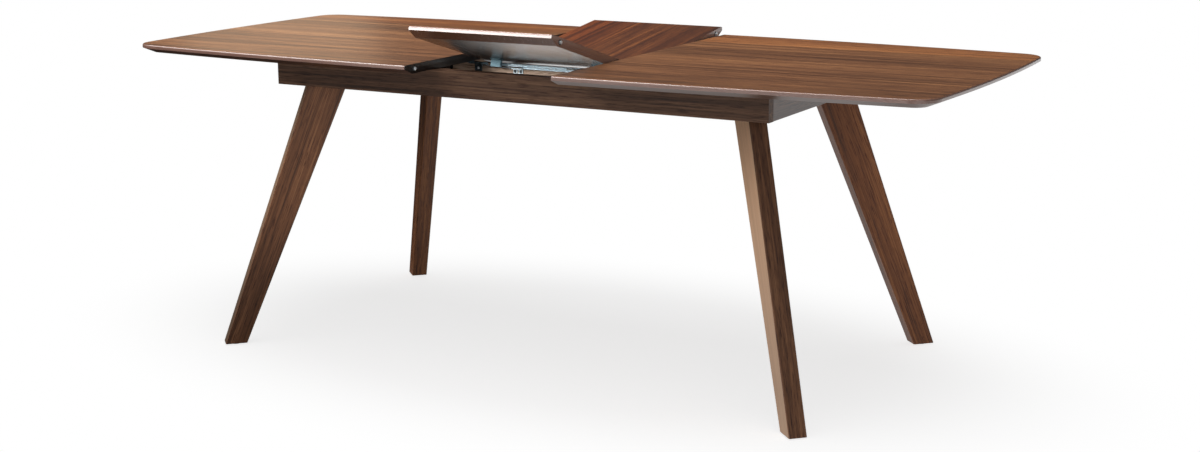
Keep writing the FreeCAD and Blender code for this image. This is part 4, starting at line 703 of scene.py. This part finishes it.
# Drawn steel: bright, with fine lines along the rod.
dress(plated("drawn_steel_rod", "#b9c3c9", "#e6edf0", 1.2, 0.22, ALONG_ROD), "left_stop_rod",
      "right_stop_rod")
# Zinc on screws: a plain grey shine.
dress(plated("screw_zinc", "#8f959a", "#c0c6ca", 2, 0.35), "frame_screws", "left_top_screws",
      "right_top_screws", "far_leaf_screws", "near_leaf_screws", "leg_bolts", "pivot_pins")
# Nickel on hinges: a warmer grey than zinc.
dress(plated("hinge_nickel", "#8d8b86", "#b5b3ad", 3, 0.35), "far_leaf_hinge_cups", "near_leaf_hinge_cups",
      "hinge_links")
# Ground ball bearings: nearly a mirror.
dress(plated("ball_bearing_steel", "#c9ccd0", "#e9ebee", 2, 0.12), "left_slide_balls", "right_slide_balls")
# Turned pins: satin and nearly white.
dress(pin_steel, "left_top_pins", "far_leaf_pin", "near_leaf_pin")

# %% [markdown]
# ## Small plastic and felt parts
# The sockets that receive the pins and the glides under the feet are moulded plastic with a fine spark
# texture. The rest pads under the leaf's seam are pressed felt, a mat of fibres about half a millimetre
# apart, drawn a little coarser so that it shows. Plastic and felt look far apart but need the same steps, a
# speckle and a relief from one fine noise, so one routine makes them from different numbers.

# %% Plastic and felt
SPECKLE_STOPS = (0.35, 0.65)
SPECKLE_RELIEF = 0.1 * MM


def grainy(name, dark, light, grain_mm, roughness, relief_strength, **constants):
    """A matt material with a fine random grain."""
    material, tree, shader = new_material(name, Roughness=roughness, **constants)
    place = add(tree, "TexCoord")
    grain = add(tree, "TexNoise", links={
        "Vector": place.outputs["Object"], "Scale": 1 / (grain_mm * MM), "Detail": 4.0}).outputs["Fac"]
    speckle = add(tree, "ValToRGB", {"stops": list(zip(SPECKLE_STOPS, (dark, light)))}, {"Fac": grain})
    relief = add(tree, "Bump", links={
        "Strength": relief_strength, "Distance": SPECKLE_RELIEF, "Height": grain})
    tree.links.new(speckle.outputs["Color"], shader.inputs["Base Color"])
    tree.links.new(relief.outputs["Normal"], shader.inputs["Normal"])
    return material


# Moulded nylon: dark brown and half matt, so that a socket reads as a hole in the end grain.
dress(grainy("socket_nylon", "#1c130f", "#2b1f19", 0.6, 0.5, 0.2, IOR=1.53), "right_top_sockets",
      "far_leaf_socket", "near_leaf_socket")
# Moulded polyethylene: black and a little waxy.
dress(grainy("glide_polyethylene", "#101010", "#1c1c1c", 0.6, 0.55, 0.2, IOR=1.51), "foot_glides")
# Pressed felt: dark and quite dull, with a pale sheen of loose fibres at a low angle.
dress(grainy("pressed_felt", "#1b1917", "#39352f", 0.8, 0.95, 0.8, Sheen_Weight=0.4), "rest_pads")

# %% [markdown]
# ## Turned pieces
# Two kinds of small turned piece are added to the frame: collars and rivets. A lathe makes such a piece by
# turning it against a blade that follows a profile. The spin operator does the same: a few points are
# joined to a profile, and spin carries it once round the axis and merges its ends. A cylinder primitive
# would give straight walls only. The piece is made in its place, so its object stays at the origin.

# %% Spin a profile
TURNING_STEPS = 48
MERGE_DISTANCE = 0.001 * MM


def spun(name, profile, centre, axis, material):
    """Turn a profile, given as distance along and away from an axis, into a closed solid.

    A profile that starts and ends on the axis stays open there, so that no face folds onto the axis.
    """
    shape = bmesh.new()
    direction = Vector(axis).normalized()
    side = direction.orthogonal().normalized()
    points = [Vector(centre) + direction * along + side * out for along, out in profile]
    rim = [shape.verts.new(point) for point in points]
    loop = rim if profile[0][1] == 0 and profile[-1][1] == 0 else rim + rim[:1]
    edges = [shape.edges.new((first, second)) for first, second in zip(loop, loop[1:])]
    bmesh.ops.spin(shape, geom=rim + edges, cent=centre, axis=direction, angle=math.tau,
                   steps=TURNING_STEPS, use_merge=True)
    bmesh.ops.remove_doubles(shape, verts=shape.verts, dist=MERGE_DISTANCE)
    bmesh.ops.recalc_face_normals(shape, faces=shape.faces)
    mesh = bpy.data.meshes.new(name)
    shape.to_mesh(mesh)
    shape.free()
    mesh.materials.append(material)
    piece = bpy.data.objects.new(name, mesh)
    bpy.context.scene.collection.objects.link(piece)
    print(name, len(mesh.polygons), "faces")
    return piece


print("one face of a turned piece spans %.1f degrees" % (360 / TURNING_STEPS))

# %% [markdown]
# ## Collars round the alignment pins
# Each pin is pressed into a turned metal collar that lies flush in the end of the top, so that the pin
# does not split the end grain. On the photograph the collar shows as a dark ring with a bright rim. It
# stands only 0.2 mm proud, because the faces close up to each other. On the left half top the collars sit
# where its pins are. On the leaf their places are known for the flat leaf, so they are tilted into its
# pose. A ring primitive would have neither the groove nor the sloping rim.

# %% Pin collars
COLLAR_PROUD, COLLAR_DEPTH = 0.2 * MM, 2 * MM
COLLAR_INNER, COLLAR_OUTER = 4.1 * MM, 6.6 * MM
GROOVE_DEPTH, GROOVE_RADIUS = 0.15 * MM, 5 * MM
RIM_SLOPE_WIDTH, RIM_FOOT = 0.4 * MM, 0.05 * MM
PIN_HEIGHT = 0.739
PIN_ACROSS = 0.41                   # from the table's middle line to a pin's axis
PIVOT = (0, 0.281, 0.713)           # the axis on which the far half tilts
FLAT_SEAM = (0, 0, 0.75025)         # where the seam lies when the leaf is flat


def tilted(point, tilt, pivot, moved_pivot):
    """Where a point of the flat leaf lies when its half is tilted about a pivot."""
    return Vector(moved_pivot) + Matrix.Rotation(tilt, 3, "X") @ (Vector(point) - Vector(pivot))


# Blued steel: a dark ring whose rim alone is bright.
collar_steel = plated("collar_blued_steel", "#0e1012", "#24282c", 1.5, 0.4)
collar_profile = [(-COLLAR_DEPTH, COLLAR_INNER), (0, COLLAR_INNER),
                  (COLLAR_PROUD - GROOVE_DEPTH, GROOVE_RADIUS),
                  (COLLAR_PROUD, COLLAR_OUTER - RIM_SLOPE_WIDTH),
                  (RIM_FOOT, COLLAR_OUTER), (-COLLAR_DEPTH, COLLAR_OUTER)]
collars = [("left_front_pin_collar", "left_top", Vector((-SPLIT, -PIN_ACROSS, PIN_HEIGHT))),
           ("left_rear_pin_collar", "left_top", Vector((-SPLIT, PIN_ACROSS, PIN_HEIGHT))),
           ("near_leaf_pin_collar", "near_leaf",
            tilted((LEAF_END, -PIN_ACROSS, PIN_HEIGHT), NEAR_TILT, FLAT_SEAM, SEAM)),
           ("far_leaf_pin_collar", "far_leaf",
            tilted((LEAF_END, PIN_ACROSS, PIN_HEIGHT), FAR_TILT, PIVOT, PIVOT))]
for name, body, centre in collars:
    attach(spun(name, collar_profile, centre, (1, 0, 0), collar_steel), body)

# %% [markdown]
# ## Rivets in the stop brackets
# The hanging plate of each stop bracket holds its rod with one rivet, whose domed head is the bright spot
# on the photograph. Half a ball would be too high for a rivet, so the dome is a quarter of a flat oval,
# spun about the rivet's axis. The profile starts and ends on that axis, so it stays open there and the spin
# closes it at both poles.

# %% Rivets
RIVET_RADIUS, RIVET_HEIGHT, RIVET_TAIL = 3.2 * MM, 1.1 * MM, 0.5 * MM
RIVET_DROP = 6 * MM     # from the rod's axis down to the rivet
PLATE_FACE = -0.1525    # along Y
PLATE_MIDDLE = 0.1848   # along X, on either side of the table's middle
ROD_HEIGHTS = {"left": 0.7168, "right": 0.7217}
ARC_STEPS = 6

dome = [(-RIVET_TAIL, 0), (-RIVET_TAIL, RIVET_RADIUS)]
for step in range(ARC_STEPS):
    angle = math.tau / 4 * step / ARC_STEPS
    dome.append((RIVET_HEIGHT * math.sin(angle), RIVET_RADIUS * math.cos(angle)))
dome.append((RIVET_HEIGHT, 0))
for side_name, side in SIDES.items():
    centre = Vector((PLATE_MIDDLE * side, PLATE_FACE, ROD_HEIGHTS[side_name] - RIVET_DROP))
    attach(spun(side_name + "_bracket_rivet", dome, centre, (0, -1, 0), pin_steel), side_name + "_top")
    plate_box = [[round(v, 4) for v in corner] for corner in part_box(side_name + "_stop_bracket")]
    print([round(v, 4) for v in centre], "on", plate_box)

# %% [markdown]
# ## The floor
# The photograph shows a white floor with no edge: the shadows of the table are faint and the floor fades
# to pure white. A curved backdrop could do that, but it would stand in the way of other views, so the
# floor is one disc, far bigger than the picture.

# %% Floor disc
FLOOR_RADIUS = 40
FLOOR_STEPS = 96

floor_shape = bmesh.new()
bmesh.ops.create_circle(floor_shape, cap_ends=True, radius=FLOOR_RADIUS, segments=FLOOR_STEPS)
floor_mesh = bpy.data.meshes.new("studio_floor")
floor_shape.to_mesh(floor_mesh)
floor_shape.free()
floor = bpy.data.objects.new("studio_floor", floor_mesh)
bpy.context.scene.collection.objects.link(floor)
print("floor: a disc %d m across" % (2 * FLOOR_RADIUS))

# %% [markdown]
# ## The floor that the camera sees
# To the camera the floor is matt grey-white paint with an even white glow added to it, which keeps the
# shadows and stays just under pure white. Past an oval round the table it is plain white. The Light Path
# node keeps the glow for the camera, so that it lights nothing.

# %% Floor for the camera
OVAL = (0.8, 1.35, 0)           # the table is longer than it is wide
FADE_LIMITS = (0.6, 1.25)       # where the fade to white starts and ends, measured on that oval
PAPER_GLOW = 0.7

floor_paint = bpy.data.materials.new("studio_floor_paint")
floor_paint.use_nodes = True
tree = floor_paint.node_tree
tree.nodes.clear()
place = add(tree, "TexCoord")
rays = add(tree, "LightPath")
oval = add(tree, "VectorMath", {"operation": "MULTIPLY"}, {0: place.outputs["Object"], 1: OVAL})
reach = add(tree, "VectorMath", {"operation": "LENGTH"}, {0: oval.outputs[0]})
paint = add(tree, "BsdfDiffuse", links={"Color": linear("#e4e4e4")})
haze = add(tree, "Math", {"operation": "MULTIPLY"}, {0: rays.outputs["Is Camera Ray"], 1: PAPER_GLOW})
glow = add(tree, "Emission", links={"Color": linear("#ffffff"), "Strength": haze.outputs[0]})
near_floor = add(tree, "AddShader", links={0: paint.outputs[0], 1: glow.outputs[0]})
fade = add(tree, "MapRange", {"interpolation_type": "SMOOTHSTEP"}, {
    "Value": reach.outputs["Value"], "From Min": FADE_LIMITS[0], "From Max": FADE_LIMITS[1]})
print("the floor is plain white %.2f m in front of the table's middle" % (FADE_LIMITS[1] / OVAL[1]))

# %% [markdown]
# ## The floor that shiny things see
# Anything shiny sees the floor as glowing white paper, with a painted shade that makes it a little dimmer
# under the table, and painted dark on the far left: that is why the bevel under the left half top is dark
# and the one on the right is grey. No lamp could do this, because what shows there is a mirror image of the
# floor. Is Glossy Ray and Is Transmission Ray pick out the rays that make it.

# %% Floor for shiny things
# Painted dark on the far left of the floor that shiny things see: its slant, where it starts and ends, and
# how dark.
DARK_LEFT_SLANT = (1, 0.5, 0)       # the edge of the painted dark runs askew to the table
DARK_LEFT_LIMITS = (-0.72, -0.3)
PAINTED_DARK_LEFT = 0.02
# Painted shade: under the table the floor that shiny things see is dimmer.
UNDER_TABLE_SHADE_LIMITS = (0.7, 1.4)
UNDER_TABLE_PAINTED_SHADE = 0.75

slant = add(tree, "VectorMath", {"operation": "DOT_PRODUCT"}, {0: place.outputs["Object"], 1: DARK_LEFT_SLANT})
mirrored_level = add(tree, "MapRange", {"interpolation_type": "SMOOTHSTEP"}, {
    "Value": slant.outputs["Value"], "From Min": DARK_LEFT_LIMITS[0], "From Max": DARK_LEFT_LIMITS[1],
    "To Min": PAINTED_DARK_LEFT, "To Max": 1.0})
shade = add(tree, "MapRange", {"interpolation_type": "SMOOTHSTEP"}, {
    "Value": reach.outputs["Value"], "From Min": UNDER_TABLE_SHADE_LIMITS[0], "From Max": UNDER_TABLE_SHADE_LIMITS[1],
    "To Min": UNDER_TABLE_PAINTED_SHADE, "To Max": 1.0})
mirrored_level = add(tree, "Math", {"operation": "MULTIPLY"}, {0: mirrored_level.outputs[0], 1: shade.outputs[0]})
level = add(tree, "Math", {"operation": "MAXIMUM"}, {0: mirrored_level.outputs[0], 1: rays.outputs["Is Camera Ray"]})
far_floor = add(tree, "Emission", links={"Color": linear("#ffffff"), "Strength": level.outputs[0]})
shiny = add(tree, "Math", {"operation": "MAXIMUM"}, {
    0: rays.outputs["Is Glossy Ray"], 1: rays.outputs["Is Transmission Ray"]})
far_share = add(tree, "Math", {"operation": "MULTIPLY"}, {
    0: rays.outputs["Is Camera Ray"], 1: fade.outputs[0]})
far_share = add(tree, "Math", {"operation": "MAXIMUM"}, {0: far_share.outputs[0], 1: shiny.outputs[0]})
both = add(tree, "MixShader", links={
    0: far_share.outputs[0], 1: near_floor.outputs[0], 2: far_floor.outputs[0]})
add(tree, "OutputMaterial", links={"Surface": both.outputs[0]})
floor_mesh.materials.append(floor_paint)
print(floor_paint.name, "has", len(tree.nodes), "nodes")

# %% [markdown]
# ## Light
# The key light is a big soft box at the front left, well above the table: the legs' left faces are bright
# in it, while the tops shade the aprons from it. An even sheet overhead makes the faint shadows on the
# floor. A narrow strip overhead draws the white line on the rounded arris of the tops, a warm panel low at
# the back left lays its shine on the left half top, and two weak panels at the front and the right keep
# the shaded faces from going black. One bright front panel is there for the near leaf half, whose white
# edge is a mirror image of that panel, and a second one in the same place is there for the steel. Point
# lamps would be simpler, but real soft boxes are flat and wide, and metal shows their shape.

# %% Lamps
FRONT_PANEL = {"place": (-2.6, -4.3, 2.45), "aim": (0, -0.45, 0.82), "wide": 2.8, "high": 1.1}


def soft_box(name, place, aim, wide, high, radiance, colour="#ffffff"):
    """An area light aimed at a point; radiance is how bright the panel itself looks."""
    data = bpy.data.lights.new(name, "AREA")
    data.shape = "RECTANGLE"
    data.size, data.size_y = wide, high
    data.energy = radiance * math.pi * wide * high
    data.color = linear(colour)[:3]
    lamp = bpy.data.objects.new(name, data)
    bpy.context.scene.collection.objects.link(lamp)
    lamp.location = place
    lamp.rotation_euler = (Vector(aim) - Vector(place)).to_track_quat("-Z", "Y").to_euler()
    print("%s: %.0f W" % (name, data.energy))
    return lamp


key = soft_box("key_soft_box", (-3.1, -2.15, 4.4), (0, 0, 0.7), 5.0, 4.0, 4.6)
leaf_panel = soft_box("front_left_panel", radiance=14, **FRONT_PANEL)
steel_panel = soft_box("steel_panel", radiance=36, **FRONT_PANEL)
soft_box("overhead_sheet", (0.1, -0.6, 3.4), (0.1, -0.6, 0), 4.6, 4.0, 0.5)
strip = soft_box("overhead_strip", (-1.2, -0.6, 3.3), (-1.2, -0.5, 0), 4.4, 0.3, 15)
back = soft_box("back_left_panel", (-3.74, 3.5, 1.44), (0, 0, 0.75), 1.0, 1.5, 1.05, "#ffe2c0")
fill = soft_box("right_fill", (3.6, -3.6, 1.6), (0, 0, 0.5), 2.4, 2.0, 1.5)
low = soft_box("low_front_panel", (-0.9, -4.2, 0.55), (-0.3, 0, 0.5), 4.0, 0.7, 2.8)

# %% [markdown]
# ## What each lamp lights
# A composed studio picture is lit piece by piece, and one set of lamps that lights everything can't match
# it. Light linking, a setting of each lamp's object, gives a lamp a group of objects that it lights, or a
# group that it leaves out. Only the sheet lights the floor. One front panel lights the near leaf half
# alone, and the other the steel, the pins and the bearer in the opening.

# %% Light linking
STEEL_AND_BEARER = ("front_stop_rail", "left_stop_rod", "right_stop_rod", "slotted_brackets",
                    "left_stop_bracket", "right_stop_bracket", "front_beam", "near_leaf_pin",
                    "far_leaf_pin", "left_top_pins")


def link_light(name, state, lamps, objects):
    """Let lamps light only some objects, or all but some, by light linking."""
    group = bpy.data.collections.new(name)
    for item in objects:
        group.objects.link(item)
    for member in group.collection_objects:
        member.light_linking.link_state = state
    for lamp in lamps:
        lamp.light_linking.receiver_collection = group
    print(name, [lamp.name for lamp in lamps])


link_light("all_but_the_floor", "EXCLUDE", (key, strip, back, fill, low), (floor,))
link_light("near_leaf_only", "INCLUDE", (leaf_panel,), (nodes["near_leaf_panel"], nodes["near_leaf_feet"]))
link_light("steel_and_bearer_only", "INCLUDE", (steel_panel,), [nodes[name] for name in STEEL_AND_BEARER])

# %% [markdown]
# ## The air of the studio
# White walls send a little even light back from all sides. Walls could be built, but they would stand in
# the way of other views, so the world gives that light instead. The camera sees it as plain white, and
# gloss sees it much dimmer than matt surfaces do, because a bright one would lay a grey veil over the dark
# wood.

# %% World
WALL_LIGHT = 0.2
WALL_IN_GLOSS = 0.06

world = bpy.data.worlds.new("studio_air")
bpy.context.scene.world = world
world.use_nodes = True
tree = world.node_tree
tree.nodes.clear()
rays = add(tree, "LightPath")
dim = add(tree, "MapRange", links={
    "Value": rays.outputs["Is Glossy Ray"], "To Min": WALL_LIGHT, "To Max": WALL_IN_GLOSS})
air = add(tree, "Background", links={"Color": linear("#ffffff"), "Strength": dim.outputs[0]})
backdrop = add(tree, "Background", links={"Color": linear("#ffffff"), "Strength": 1.0})
both = add(tree, "MixShader", links={
    0: rays.outputs["Is Camera Ray"], 1: air.outputs[0], 2: backdrop.outputs[0]})
add(tree, "OutputWorld", links={"Surface": both.outputs[0]})
print("the world gives %.2f of white light, and %.2f in gloss" % (WALL_LIGHT, WALL_IN_GLOSS))
